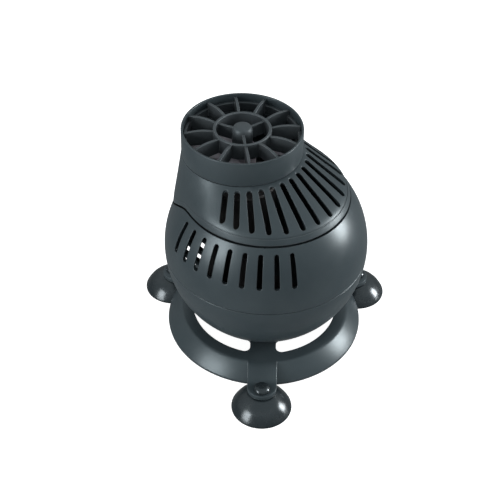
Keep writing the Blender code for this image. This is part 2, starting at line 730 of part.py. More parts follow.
# ---- motor ----
def motor_capsule():
    wall = CAPS_R - CAPS_T
    well = WELL_R + WELL_T
    profile = [(CAPS_R - 0.8, CAPS_Z1), (CAPS_R, CAPS_Z1 - 0.8), (CAPS_R, CAPS_Z0), (wall, CAPS_Z0),
               (wall, CAPS_Z1 - CAPS_T), (well, CAPS_Z1 - CAPS_T), (well, WELL_Z - 1.2), (0.0, WELL_Z - 1.2),
               (0.0, WELL_Z), (WELL_R, WELL_Z), (WELL_R, CAPS_Z1)]
    capsule = revolve("motor_capsule", profile, at=(OUT_X, OUT_Y), steps=40)
    for i, bearing in enumerate(BOSS_BEARINGS):
        foot = unit(bearing) * BOSS_R
        way = Vector((foot.x - OUT_X, foot.y - OUT_Y, 0.0))
        reach = way.length
        tau = math.degrees(math.atan2(way.y, way.x))
        low, high = EAR_Z
        side = [(CAPS_R - 1.1, high), (reach + 3.4, high), (reach + 3.4, low), (CAPS_R - 1.1, low)]
        ear = cutter(standing_plate("add_ear_%d" % (i + 1), side, 7.0, tau, (OUT_X, OUT_Y)))
        combine(capsule, ear, "UNION")
        hole = cylinder("cut_ear_%d" % (i + 1), 1.6, EAR_Z[0] - 2.0, EAR_Z[1] + 2.0, foot, 12)
        combine(capsule, cutter(hole), "DIFFERENCE")
    return capsule


def capsule_screw(index, bearing):
    p = unit(bearing) * BOSS_R
    z = EAR_Z[1] + GAP
    profile = [(0.0, z + 1.9), (1.8, z + 1.7), (2.8, z + 0.9), (2.8, z), (1.2, z), (1.2, z - 8.7), (0.6, z - 9.5),
               (0.0, z - 9.5)]
    return revolve("capsule_screw_%d" % index, profile, at=(p.x, p.y), steps=16)


def sides(side, grow):
    """The two x values of a core leg on one side, grown outward all round."""
    x = (side * (ARM_X[0] - grow), side * (ARM_X[1] + grow))
    return min(x), max(x)


def stator_core():
    at = (OUT_X, OUT_Y, 0.0)
    across = (-ARM_Y, ARM_Y)
    core = place("stator_core", block("stator_core", (-ARM_X[1], ARM_X[1]), across,
                                      (CAPS_Z0 + 3.5, CAPS_Z0 + 8.6)), at)
    for side, name in ((-1.0, "left"), (1.0, "right")):
        leg = cutter(block("add_leg_" + name, sides(side, 0.0), across, (CAPS_Z0 + 5.0, CAPS_Z1 - 3.0)), at)
        combine(core, leg, "UNION")
    well = cylinder("cut_poles", WELL_R + WELL_T + GAP, WELL_Z - 1.2 - GAP, CAPS_Z1, count=48)
    combine(core, cutter(well, at), "DIFFERENCE")
    return core


def leg_box(name, side, grow, corner, z0, z1):
    """A rounded block round one leg of the core."""
    x0, x1 = sides(side, grow)
    return plate(name, [rounded(x0, x1, -ARM_Y - grow, ARM_Y + grow, corner)], z0, z1)


def winding(side, name, copper, plastic):
    at = (OUT_X, OUT_Y, 0.0)
    skin = GAP + BOBBIN_T
    full = skin + COIL_T
    z0, z1 = COIL_Z
    bobbin = place("bobbin_" + name, leg_box("bobbin_" + name, side, skin, 0.6, z0 - 0.9, z1 + 0.9), at)
    for z, tag in ((z0 - 0.9, "low"), (z1, "high")):
        flange = leg_box("add_flange_%s_%s" % (name, tag), side, full, 3.4, z, z + 0.9)
        combine(bobbin, cutter(flange, at), "UNION")
    inside = block("cut_bobbin_" + name, sides(side, GAP), (-ARM_Y - GAP, ARM_Y + GAP), (z0 - 3.0, z1 + 3.0))
    combine(bobbin, cutter(inside, at), "DIFFERENCE")
    dress(bobbin, "ball", plastic)
    coil = place("coil_" + name, leg_box("coil_" + name, side, full, 3.4, z0 + GAP, z1 - GAP), at)
    hole = leg_box("cut_coil_" + name, side, skin + GAP, 0.6, z0 - 2.0, z1 + 2.0)
    combine(coil, cutter(hole, at), "DIFFERENCE")
    dress(coil, "ball", copper)


def capsule_floor():
    mesh = cylinder("capsule_floor", CAPS_R - CAPS_T - GAP, CAPS_Z0, CAPS_Z0 + 2.4, count=40)
    return place("capsule_floor", mesh, (OUT_X, OUT_Y, 0.0))


def motor_small(ceramic, rubber, plastic, magnet):
    at = (OUT_X, OUT_Y)
    bottom = WELL_Z + GAP
    rear = [(WELL_R - 0.4, bottom + 3.0), (WELL_R - 0.4, bottom), (0.0, bottom), (0.0, bottom + 0.9),
            (SHAFT_R + GAP, bottom + 0.9), (SHAFT_R + GAP, bottom + 3.0)]
    dress(revolve("rear_bush", rear, at=at, steps=24), "ball", rubber)
    z0 = bottom + 0.9 + GAP
    z1 = GUARD_Z0 + 3.6
    shaft = [(0.0, z1), (SHAFT_R - 0.3, z1), (SHAFT_R, z1 - 0.4), (SHAFT_R, z0), (0.0, z0)]
    dress(revolve("shaft", shaft, at=at, steps=20), "ball", ceramic)
    cover = [(WELL_R + 2.4, CAPS_Z1 + GAP + 1.3), (WELL_R + 2.4, CAPS_Z1 + GAP), (4.0, CAPS_Z1 + GAP),
             (4.0, CAPS_Z1 + GAP + 1.3)]
    dress(revolve("well_cover", cover, at=at, steps=32), "ball", plastic)
    m0, m1 = MAGNET_Z
    ring = [(WELL_R - WATER, m1), (WELL_R - WATER, m0), (3.2 + GAP, m0), (3.2 + GAP, m1)]
    dress(revolve("rotor_magnet", ring, at=at, steps=24), "rotor", magnet)
    bore = SHAFT_R + RUN
    for tag, z in (("rear", m0 - 1.0), ("front", CAPS_Z1 + 2.4)):
        bush = [(bore + 0.5, z + 4.6), (bore + 0.5, z), (bore, z), (bore, z + 4.6)]
        dress(revolve("rotor_bearing_" + tag, bush, at=at, steps=20), "rotor", ceramic)
    end = PROP_Z[0] - 2.2
    tube = [(3.2, end), (3.2, m0 - 1.3), (bore + 0.5 + GAP, m0 - 1.3), (bore + 0.5 + GAP, end)]
    sleeve = revolve("rotor_sleeve", tube, at=at, steps=24)
    dog = block("add_dog", (2.85, CLUTCH_R - 0.4), (-1.3, 1.3), (end - 3.0, end))
    combine(sleeve, cutter(dog, (OUT_X, OUT_Y, 0.0)), "UNION")
    dress(sleeve, "rotor", plastic)


def blade(bearing):
    """One twisted blade between the hub and the nozzle, as a thin closed loft."""
    stations = 5
    chord = 5
    rings = []
    for i in range(stations + 1):
        s = i / stations
        r = PROP_HUB_R - 0.7 + (PROP_R - PROP_HUB_R + 0.7) * s
        half = 40.0 - 5.0 * s
        top = PROP_Z[1] - 0.4
        low = PROP_Z[0] + 2.6 * s
        thick = BLADE_T * (1.25 - 0.45 * s)
        ring = []
        for face in (1.0, -1.0):
            for k in range(chord + 1):
                c = k / chord if face > 0 else 1.0 - k / chord
                a = bearing + half * (2.0 * c - 1.0) + 8.0 * s
                z = top + (low + thick - top) * c + 0.9 * math.sin(math.pi * c)
                cut = 1.0 if 0.01 < c < 0.99 else 0.7
                p = unit(a) * r
                ring.append((p.x, p.y, z + face * thick * cut / 2.0 - thick / 2.0))
        rings.append(ring)
    n = len(rings[0])
    verts = [v for ring in rings for v in ring]
    faces = [tuple(range(n)), tuple(range(len(verts) - n, len(verts)))[::-1]]
    for k in range(len(rings) - 1):
        for i in range(n):
            j = (i + 1) % n
            faces.append((k * n + i, k * n + n + i, k * n + n + j, k * n + j))
    return loft_mesh("blade", verts, faces)


def propeller():
    bore = SHAFT_R + RUN
    top = PROP_Z[1]
    low = PROP_Z[0] - 6.0
    web = PROP_Z[0] - 1.6
    profile = [(PROP_HUB_R - 1.4, top + 1.2), (PROP_HUB_R - 0.2, top + 0.2), (PROP_HUB_R, top - 1.0),
               (PROP_HUB_R, low), (CLUTCH_R, low), (CLUTCH_R, web), (bore, web), (bore, top + 1.2)]
    prop = revolve("propeller", profile, at=(OUT_X, OUT_Y), steps=24)
    at = (OUT_X, OUT_Y, 0.0)
    stop = block("add_stop", (-CLUTCH_R - 0.6, -3.6), (-1.3, 1.3), (low + 0.6, web + 0.6))
    combine(prop, cutter(stop, at), "UNION")
    for i in range(BLADES):
        mesh = blade(360.0 / BLADES * i + 15.0)
        mesh.name = "add_blade_%d" % (i + 1)
        combine(prop, cutter(mesh, at), "UNION")
    return prop


# ---- gland ----
def gland(plastic, rubber):
    z = BALL_Z + GLAND_Z
    flange = math.sqrt(BALL_R ** 2 - GLAND_Z ** 2) + 2.6
    nut = place("cord_gland", cylinder_y("cord_gland", GLAND_R, flange, GLAND_REACH, z, 6))
    shank = cylinder_y("add_gland_shank", GLAND_R - 1.6 - GAP, BALL_R - 8.3, flange + 1.0, z, 20)
    combine(nut, cutter(shank), "UNION")
    seat = cylinder_y("cut_gland_seal", CORD_HOLE_R + 1.2 + GAP, BALL_R + 1.2, GLAND_REACH + 2.0, z, 20)
    combine(nut, cutter(seat), "DIFFERENCE")
    hole = cylinder_y("cut_gland_hole", CORD_HOLE_R, BALL_R - 10.8, GLAND_REACH + 2.0, z, 20)
    combine(nut, cutter(hole), "DIFFERENCE")
    dress(nut, "ball", plastic)
    ring = cylinder_y("gland_seal", CORD_HOLE_R + 1.2, BALL_R + 1.2 + GAP, GLAND_REACH - 0.6, z, 20)
    seal = place("gland_seal", ring)
    bore = cylinder_y("cut_seal", CORD_HOLE_R - 0.1, BALL_R - 0.8, GLAND_REACH + 1.0, z, 20)
    combine(seal, cutter(bore), "DIFFERENCE")
    dress(seal, "ball", rubber)


def shade():
    """Smooth shading with crisp corners; the outlines of turned pieces are smoothed as they turn."""
    for obj in PARTS.objects:
        if obj.type != "MESH":
            continue
        obj.data.shade_smooth()
        obj.data.set_sharp_from_angle(angle=math.radians(32.0))


# ---- build ----
fresh_scene()
PARTS = collection("wave_maker_pump")
CUTTERS = collection("cutters", hidden=True)

shell_mat = material("shell_plastic", (0.045, 0.056, 0.060), 0.42)
cap_mat = material("cap_plastic", (0.045, 0.056, 0.060), 0.45)
base_mat = material("base_plastic", (0.043, 0.053, 0.057), 0.45)
guard_mat = material("guard_plastic", (0.050, 0.058, 0.064), 0.45)
cup_mat = material("cup_rubber", (0.022, 0.026, 0.028), 0.25)
lining_mat = material("lining_rubber", (0.02, 0.02, 0.02), 0.7)
prop_mat = material("propeller_plastic", (0.11, 0.10, 0.12), 0.45)
steel_mat = material("stainless_steel", (0.55, 0.55, 0.56), 0.3, 1.0)
inner_mat = material("motor_plastic", (0.03, 0.03, 0.032), 0.5)
ceramic_mat = material("ceramic", (0.80, 0.79, 0.76), 0.25)
magnet_mat = material("magnet_ferrite", (0.06, 0.06, 0.065), 0.5, 0.3)
iron_mat = material("core_steel", (0.35, 0.35, 0.37), 0.45, 1.0)
copper_mat = material("coil_copper", (0.55, 0.20, 0.08), 0.35, 1.0)

body("base", 0.0, 0.0, 0.0)
body("swivel", 0.0, 0.0, BALL_Z)
body("ball", 0.0, 0.0, BALL_Z)
body("cap", OUT_X, OUT_Y, BALL_Z)
body("rotor", OUT_X, OUT_Y, BALL_Z)
body("propeller", OUT_X, OUT_Y, BALL_Z)

dress(base_ring(), "base", base_mat)
for cup_name, cup_bearing in zip(CUP_NAMES, ARM_BEARINGS):
    dress(suction_cup(cup_name, cup_bearing), "base", cup_mat)
clamp_parts(lining_mat, steel_mat, inner_mat)
dress(lower_bowl(), "ball", shell_mat)
dress(upper_shell(), "ball", shell_mat)
dress(cap_shell(), "cap", cap_mat)
dress(nozzle_ring(), "cap", cap_mat)
dress(outlet_guard(), "cap", guard_mat)
z0 = GUARD_Z0 + 0.2
front = revolve("front_bush", [(2.9, z0 + 4.4), (2.9, z0), (SHAFT_R + RUN, z0), (SHAFT_R + RUN, z0 + 4.4)],
                at=(OUT_X, OUT_Y), steps=24)
dress(front, "cap", lining_mat)
dress(motor_capsule(), "ball", inner_mat)
dress(capsule_floor(), "ball", inner_mat)
for number, screw_bearing in enumerate(BOSS_BEARINGS, 1):
    dress(capsule_screw(number, screw_bearing), "ball", steel_mat)
dress(stator_core(), "ball", iron_mat)
winding(-1.0, "left", copper_mat, inner_mat)
winding(1.0, "right", copper_mat, inner_mat)
motor_small(ceramic_mat, lining_mat, inner_mat, magnet_mat)
dress(propeller(), "propeller", prop_mat)
gland(base_mat, lining_mat)
shade()

bpy.context.view_layer.update()
print("built %d parts" % len([o for o in PARTS.objects if o.type == "MESH"]))
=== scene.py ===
# %% [markdown]
# # Wave maker pump
# A dark ball-shaped pump on a base with three suction cups. The solid model is loaded first. It
# could be shown as it is, but its curves are coarse, so the skins that are seen are rebuilt more
# finely in the same place, and every part gets a material of its own.

import json
import math

import bmesh
import bpy
from mathutils import Matrix, Vector


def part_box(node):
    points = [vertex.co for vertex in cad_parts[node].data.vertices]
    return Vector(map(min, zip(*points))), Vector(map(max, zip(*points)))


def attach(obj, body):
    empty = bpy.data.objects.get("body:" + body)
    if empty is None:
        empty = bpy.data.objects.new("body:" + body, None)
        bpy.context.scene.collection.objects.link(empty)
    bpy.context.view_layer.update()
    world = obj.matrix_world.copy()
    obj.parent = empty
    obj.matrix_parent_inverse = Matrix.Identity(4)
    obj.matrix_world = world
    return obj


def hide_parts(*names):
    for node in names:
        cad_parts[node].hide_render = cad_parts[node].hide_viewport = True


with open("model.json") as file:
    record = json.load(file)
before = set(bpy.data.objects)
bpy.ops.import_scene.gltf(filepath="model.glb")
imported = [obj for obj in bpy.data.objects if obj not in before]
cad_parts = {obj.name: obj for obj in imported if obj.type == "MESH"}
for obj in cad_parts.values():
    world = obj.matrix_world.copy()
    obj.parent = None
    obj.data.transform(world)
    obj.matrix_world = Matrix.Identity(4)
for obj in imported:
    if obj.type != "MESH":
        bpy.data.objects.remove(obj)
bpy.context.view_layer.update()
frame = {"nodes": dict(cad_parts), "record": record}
print("solid model:", len(frame["nodes"]), "nodes")

# %% [markdown]
# ## Where things are
# The joints say where the middle of the ball and the axis of the outlet are, and the boxes of the
# solid pieces say how high the lip and the plate stand. Reading these keeps the skins on the solid.
# The wall and edge sizes below are the solid model's own.

# %% Measured places
joints = {j["name"]: j for j in frame["record"]["behaviour"]["joints"]}
ball_mid = Vector(joints["ball_tilt"]["pos_m"])
outlet = Vector(joints["rotor_spin"]["pos_m"])
outlet.z = 0.0
axis = Vector((ball_mid.x, ball_mid.y, 0.0))
offset = (outlet - axis).length
outlet_bearing = math.degrees(math.atan2(outlet.y - axis.y, outlet.x - axis.x))

nozzle_low, nozzle_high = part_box("nozzle_ring")
lip_z = nozzle_high[2]
outlet_r = (nozzle_high[0] - nozzle_low[0]) / 2
neck_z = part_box("cap_shell")[1][2]
plate_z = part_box("base_ring")[1][2]
mm = 0.001
gap = 0.3 * mm

ball_r = 53.8 * mm
wall = 2.4 * mm
seam = ball_mid.z - 2.9 * mm
rim_r = 42.6 * mm
rim_flare = 5.8 * mm
rim_max = 51.2 * mm
cap_wall = 2.2 * mm
cap_proud = 0.2 * mm
neck_wall = 1.8 * mm
shoulder = 0.18
print("ball middle %.4f, outlet %.1f mm off axis" % (ball_mid.z, offset / mm))

# %% [markdown]
# ## Turned pieces
# Most of this pump is round: shells, cups, nozzle and hub. Blender's Screw modifier could spin a
# profile, but points and faces made directly give the same result in one call, close themselves,
# and need nothing applied afterwards. A bearing is an angle seen from above.

# %% Bearings and turned pieces
def way(bearing):
    """The flat direction of a bearing in degrees."""
    a = math.radians(bearing)
    return Vector((math.cos(a), math.sin(a), 0.0))


def turned(profile, centre, steps=160):
    """Points and faces of a closed outline (radius, height) turned about an upright axis."""
    points = []
    faces = []
    rows = []
    for r, z in profile:
        if r < 1e-7:
            rows.append([len(points)] * steps)
            points.append((centre.x, centre.y, z))
            continue
        rows.append([len(points) + i for i in range(steps)])
        for i in range(steps):
            a = math.tau * i / steps
            points.append((centre.x + r * math.cos(a), centre.y + r * math.sin(a), z))
    for k in range(len(rows)):
        low, high = rows[k], rows[(k + 1) % len(rows)]
        for i in range(steps):
            j = (i + 1) % steps
            face = []
            for v in (low[i], low[j], high[j], high[i]):
                if v not in face:
                    face.append(v)
            if len(face) > 2:
                faces.append(tuple(face))
    return points, faces


# %% [markdown]
# ## Stacks, prisms and plates
# Some pieces are not round. A stack of rings covers the cap's skin, a prism is an outline pushed
# upright for slots and holes, and a standing plate is an outline on edge for vanes. They could be
# extruded by hand in edit mode. Short functions let the same outline be used again and again.


# %% Stacks, prisms and plates
def rings_closed(rings):
    """Faces round a stack of equal rings, the last joined to the first."""
    n = len(rings[0])
    points = [p for ring in rings for p in ring]
    faces = []
    for k in range(len(rings)):
        a, b = k * n, ((k + 1) % len(rings)) * n
        for i in range(n):
            j = (i + 1) % n
            faces.append((a + i, a + j, b + j, b + i))
    return points, faces


def prism(outline, z0, z1):
    """An outline seen from above, pushed upright from one height to another."""
    n = len(outline)
    points = [(x, y, z0) for x, y in outline] + [(x, y, z1) for x, y in outline]
    faces = [tuple(range(n))[::-1], tuple(range(n, 2 * n))]
    faces += [(i, (i + 1) % n, n + (i + 1) % n, n + i) for i in range(n)]
    return points, faces


def standing(outline, thick, bearing, centre):
    """A plate on edge: its outline runs out along a bearing and up."""
    out = way(bearing)
    across = Vector((-out.y, out.x, 0.0)) * (thick / 2)
    n = len(outline)
    points = []
    for side in (-1, 1):
        points += [tuple(centre + out * r + across * side + Vector((0, 0, z))) for r, z in outline]
    faces = [tuple(range(n)), tuple(range(n, 2 * n))[::-1]]
    faces += [(i, n + i, n + (i + 1) % n, (i + 1) % n) for i in range(n)]
    return points, faces


def disc(r, centre, n=48):
    """A circle seen from above."""
    return [(centre.x + r * math.cos(math.tau * i / n), centre.y + r * math.sin(math.tau * i / n))
            for i in range(n)]


def together(*shapes):
    """Several shapes as one list of points and one of faces."""
    points, faces = [], []
    for p, f in shapes:
        shift = len(points)
        points += list(p)
        faces += [tuple(i + shift for i in face) for face in f]
    return points, faces


# %% [markdown]
# ## Cutting and joining
# A Boolean modifier cuts slots and joins arms, as a knife and glue would. It is applied at once,
# because the next cut has to start from the finished shape. The exact solver copes with faces
# that lie close together.


# %% Cutting and joining
def solid(name, shape):
    """A mesh object from points and faces, with its faces pointing out."""
    mesh = bpy.data.meshes.new(name)
    mesh.from_pydata([Vector(p) for p in shape[0]], [], shape[1])
    work = bmesh.new()
    work.from_mesh(mesh)
    bmesh.ops.recalc_face_normals(work, faces=work.faces)
    work.to_mesh(mesh)
    work.free()
    piece = bpy.data.objects.new(name, mesh)
    bpy.context.scene.collection.objects.link(piece)
    return piece


def settle(piece):
    """Bake the piece's modifiers into its mesh."""
    bpy.context.view_layer.update()
    seen = piece.evaluated_get(bpy.context.evaluated_depsgraph_get())
    mesh = bpy.data.meshes.new_from_object(seen)
    piece.modifiers.clear()
    piece.data = mesh


def shape_with(piece, shape, how="DIFFERENCE"):
    """Cut a shape out of a piece, or join it on."""
    tool = solid(piece.name + "_tool", shape)
    step = piece.modifiers.new("shape", "BOOLEAN")
    step.operation = how
    step.solver = "EXACT"
    step.object = tool
    settle(piece)
    bpy.data.objects.remove(tool, do_unlink=True)


# %% [markdown]
# ## Finishing a piece
# Each visible piece is shaded smooth with crisp corners and tied to the body it moves with, and the
# solid it stands for is hidden. Doing it in one place keeps the pieces alike.


# %% Finishing a piece
def finish_piece(piece, look, body, stands_for, sharp=32.0):
    """Smooth the piece, give it its look, tie it to its body and hide the solid it stands for."""
    piece.data.shade_smooth()
    piece.data.set_sharp_from_angle(angle=math.radians(sharp))
    piece.data.materials.clear()
    piece.data.materials.append(look)
    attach(piece, body)
    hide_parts(stands_for)
    print("%-16s %6d faces" % (piece.name, len(piece.data.polygons)))


# %% [markdown]
# ## Points on the ball
# Shells, seat and cap all follow one ball, so its outline is worked out in one place.


# %% Points on the ball
def on_ball(radius, z_from, z_to, count):
    """(radius, height) points down or up the ball's outline."""
    a0 = math.asin((z_from - ball_mid.z) / radius)
    a1 = math.asin((z_to - ball_mid.z) / radius)
    points = []
    for i in range(count + 1):
        a = a0 + (a1 - a0) * i / count
        points.append((radius * math.cos(a), ball_mid.z + radius * math.sin(a)))
    return points


def ball_z(radius, r, low=False):
    rise = math.sqrt(max(radius * radius - r * r, 0.0))
    return ball_mid.z - rise if low else ball_mid.z + rise


print("shape tools ready")


# %% [markdown]
# ## Arithmetic on sockets
# A look that varies over a surface is a sum of patterns. Nodes could be placed and wired one by
# one, but long chains are hard to read. Wrapping a socket lets a sum be written as a sum, and each
# sign adds its Math node.

# %% A socket that does arithmetic
class Value:
    """One output in a material, usable in ordinary arithmetic."""

    def __init__(self, look, socket):
        self.look = look
        self.socket = socket

    def _math(self, how, a, b=None, clamp=False):
        node = self.look.add("ShaderNodeMath", {"operation": how, "use_clamp": clamp}, {0: a, 1: b})
        return node[0]

    def __add__(self, other):
        return self._math("ADD", self, other)

    def __radd__(self, other):
        return self._math("ADD", other, self)

    def __sub__(self, other):
        return self._math("SUBTRACT", self, other)

    def __rsub__(self, other):
        return self._math("SUBTRACT", other, self)

    def __mul__(self, other):
        return self._math("MULTIPLY", self, other)

    def __rmul__(self, other):
        return self._math("MULTIPLY", other, self)

    def clamped(self):
        return self._math("ADD", self, 0.0, clamp=True)


# %% [markdown]
# ## A material under construction
# Every look starts from the Principled shader. One method adds any other node, from its kind, its
# settings and its inputs, and a few short ones make the patterns that come back often: noise,
# a ramp, a blend of two colours, a bump and softened edges.


# %% A material under construction
class Outputs:
    def __init__(self, look, node):
        self.look = look
        self.node = node

    def __getitem__(self, key):
        return Value(self.look, self.node.outputs[key])


class Look:
    """A material under construction."""

    def __init__(self, name):
        self.material = bpy.data.materials.new(name)
        self.material.use_nodes = True
        self.nodes = self.material.node_tree.nodes
        self.links = self.material.node_tree.links
        self.shader = self.nodes["Principled BSDF"]

    def connect(self, socket, value):
        if value is None:
            return
        if isinstance(value, Value):
            self.links.new(value.socket, socket)
        else:
            socket.default_value = value

    def add(self, kind, settings=None, inputs=None):
        node = self.nodes.new(kind)
        for key, value in (settings or {}).items():
            setattr(node, key, value)
        for key, value in (inputs or {}).items():
            self.connect(node.inputs[key], value)
        return Outputs(self, node)

    def set(self, **inputs):
        for key, value in inputs.items():
            self.connect(self.shader.inputs[key.replace("_", " ")], value)
        return self

    def place(self):
        return self.add("ShaderNodeTexCoord")["Object"]

    def noise(self, size, detail=3.0, rough=0.5):
        """Noise whose lumps are about size metres across, from 0 to 1."""
        node = self.add("ShaderNodeTexNoise", {}, {"Vector": self.place(), "Scale": 1.0 / size,
                                                   "Detail": detail, "Roughness": rough})
        return node["Fac"]

    def ramp(self, value, low, high):
        node = self.add("ShaderNodeMapRange", {"clamp": True},
                        {"Value": value, "From Min": low, "From Max": high,
                         "To Min": 0.0, "To Max": 1.0})
        return node["Result"]

    def blend(self, amount, a, b):
        node = self.add("ShaderNodeMix", {"data_type": "RGBA"}, {"Factor": amount, 6: a, 7: b})
        return node[2]

    def bump(self, height, depth, strength=1.0, soft=None):
        node = self.add("ShaderNodeBump", {}, {"Height": height, "Distance": depth,
                                               "Strength": strength, "Normal": soft})
        return node["Normal"]

    def soft_edges(self, radius):
        return self.add("ShaderNodeBevel", {"samples": 6}, {"Radius": radius})["Normal"]


def rgb(r, g, b):
    """A colour with full cover."""
    return (r, g, b, 1.0)


print("material tools ready")


# %% [markdown]
# ## Moulded plastic
# The real shells are dark slate plastic with a fine moulded grain. A flat colour would look like
# paint, so broad faint patches change tone and gloss, thin specks of dust sit on top, and edges
# are rounded a little and paler, as handled plastic is. The guard and cap show more of that wear.

# %% Moulded plastic
def moulded(name, colour, pale, rough, edge=0.45 * mm, wear=0.05):
    look = Look(name)
    broad = look.noise(16 * mm, 2.0)
    fine = look.noise(0.55 * mm, 3.0, 0.6)
    specks = look.ramp(look.noise(1.1 * mm, 4.0, 0.7), 0.66, 0.80)
    soft = look.soft_edges(edge)
    flat = look.add("ShaderNodeNewGeometry")["Normal"]
    turned_away = look.add("ShaderNodeVectorMath", {"operation": "DOT_PRODUCT"},
                           {0: soft, 1: flat})["Value"]
    worn = look.ramp(turned_away, 0.995, 0.90)
    tone = look.blend(look.ramp(broad, 0.35, 0.7) * 0.6, colour, pale)
    tone = look.blend(worn * (wear + fine * 0.15), tone, rgb(0.12, 0.128, 0.135))
    tone = look.blend(specks * 0.10, tone, rgb(0.12, 0.125, 0.12))
    gloss = rough + (broad - 0.5) * 0.10 + (fine - 0.5) * 0.06 + specks * 0.08
    look.set(Base_Color=tone, Roughness=gloss.clamped(),
             Normal=look.bump(fine, 0.018 * mm, 0.8, soft))
    look.set(IOR=1.45, Specular_Tint=rgb(0.82, 0.95, 1.0))
    return look.material


slate, slate_pale = rgb(0.021, 0.0285, 0.0325), rgb(0.028, 0.036, 0.040)
shell_look = moulded("shell_plastic_look", slate, slate_pale, 0.33)
cap_look = moulded("cap_plastic_look", slate, rgb(0.029, 0.037, 0.041), 0.38, wear=0.25)
base_look = moulded("base_plastic_look", slate, slate_pale, 0.34)
guard_look = moulded("guard_plastic_look", rgb(0.033, 0.039, 0.043), rgb(0.046, 0.052, 0.056), 0.48,
                     edge=0.35 * mm, wear=0.8)
print("plastics ready")

# %% [markdown]
# ## Rubber
# The suction cups are smooth and glossy, with a thin film of smears from handling. The bushes,
# seal and lining are dull. One recipe does both: only its colour and its roughness change.

# %% Rubber
def rubber(name, colour, rough, smear):
    look = Look(name)
    film = look.noise(7 * mm, 3.0, 0.6)
    fine = look.noise(0.4 * mm, 2.0)
    tone = look.blend(look.ramp(film, 0.45, 0.8) * 0.4, colour, rgb(0.028, 0.031, 0.032))
    gloss = rough + look.ramp(film, 0.4, 0.75) * smear + fine * 0.04
    look.set(Base_Color=tone, Roughness=gloss.clamped(), Normal=look.bump(fine, 0.006 * mm, 0.6))
    look.set(IOR=1.5, Specular_Tint=rgb(0.86, 0.95, 1.0))
    return look.material


cup_look = rubber("cup_rubber_look", rgb(0.0085, 0.012, 0.014), 0.17, 0.12)
lining_look = rubber("lining_rubber_look", rgb(0.020, 0.020, 0.021), 0.62, 0.10)
print("rubbers ready")

# %% [markdown]
# ## Plain plastic and steel
# The propeller and the motor housing are plain plastic. The screw, spring and disc are stainless
# steel, whose brushing is a noise stretched long in two directions and fine in the third.

# %% Plain plastic and steel
def plain_plastic(name, colour, pale, rough):
    look = Look(name)
    broad = look.noise(9 * mm, 2.0)
    fine = look.noise(0.5 * mm, 3.0, 0.6)
    tone = look.blend(broad, colour, pale)
    look.set(Base_Color=tone, Roughness=(rough + fine * 0.08).clamped(),
             Normal=look.bump(fine, 0.012 * mm, 0.7, look.soft_edges(0.3 * mm)))
    return look.material


def steel(name, colour, rough):
    look = Look(name)
    stretched = look.add("ShaderNodeMapping", {}, {"Vector": look.place(),
                                                   "Scale": (300, 300, 9000)})["Vector"]
    lines = look.add("ShaderNodeTexNoise", {}, {"Vector": stretched, "Scale": 1.0,
                                                "Detail": 3.0})["Fac"]
    tone = look.blend(lines, colour, rgb(0.66, 0.66, 0.67))
    look.set(Base_Color=tone, Metallic=1.0, Roughness=(rough + lines * 0.15).clamped(),
             Normal=look.bump(lines, 0.004 * mm, 0.5))
    return look.material


print("plain plastic and steel recipes ready")


# %% [markdown]
# ## Ceramic, magnet, core and wire
# The shaft and bearings are ceramic and the magnet is ground ferrite: fine grains of two tones.
# The core is stacked from thin sheets and the coils are wound wire, and both are rows of bands, so
# one recipe serves them. They sit inside the motor capsule and show when the pump is taken apart.


# %% Ceramic, magnet, core and wire
def ceramic(name, colour, pale, rough, metallic=0.0):
    look = Look(name)
    grains = look.noise(0.8 * mm, 5.0, 0.7)
    look.set(Base_Color=look.blend(look.ramp(grains, 0.3, 0.7), colour, pale), Metallic=metallic,
             Roughness=(rough + grains * 0.12).clamped(), Normal=look.bump(grains, 0.006 * mm, 0.5))
    return look.material


def banded(name, colour, dark, pitch, direction, rough, depth):
    """Fine bands: the sheets of a stacked core, or the turns of wire."""
    look = Look(name)
    bands = look.add("ShaderNodeTexWave", {"wave_type": "BANDS", "bands_direction": direction},
                     {"Vector": look.place(), "Scale": 0.314 / pitch, "Distortion": 0.15,
                      "Detail": 1.0})["Fac"]
    drift = look.noise(5 * mm, 2.0)
    tone = look.blend(look.ramp(bands, 0.1, 0.6), dark, colour)
    look.set(Base_Color=look.blend(drift * 0.3, tone, dark), Metallic=0.9,
             Roughness=(rough + drift * 0.1).clamped(), Normal=look.bump(bands, depth, 0.8))
    return look.material


prop_look = plain_plastic("propeller_plastic_look", rgb(0.23, 0.215, 0.24),
                          rgb(0.31, 0.29, 0.32), 0.36)
motor_look = plain_plastic("motor_plastic_look", rgb(0.012, 0.012, 0.013),
                           rgb(0.020, 0.020, 0.021), 0.45)
steel_look = steel("stainless_steel_look", rgb(0.50, 0.50, 0.51), 0.24)
ceramic_look = ceramic("ceramic_look", rgb(0.78, 0.77, 0.73), rgb(0.86, 0.85, 0.82), 0.18)
ferrite_look = ceramic("magnet_ferrite_look", rgb(0.045, 0.045, 0.05), rgb(0.08, 0.08, 0.085),
                       0.42, 0.3)
core_look = banded("core_steel_look", rgb(0.42, 0.42, 0.44), rgb(0.10, 0.10, 0.11),
                   0.5 * mm, "Y", 0.4, 0.03 * mm)
coil_look = banded("coil_copper_look", rgb(0.60, 0.23, 0.09), rgb(0.20, 0.06, 0.03),
                   0.35 * mm, "Z", 0.3, 0.08 * mm)
print("motor looks ready")

# %% [markdown]
# ## Looks on the solid pieces
# Each solid piece already names what it is made of, so a table from that name to a look is enough,
# and no piece can be forgotten.

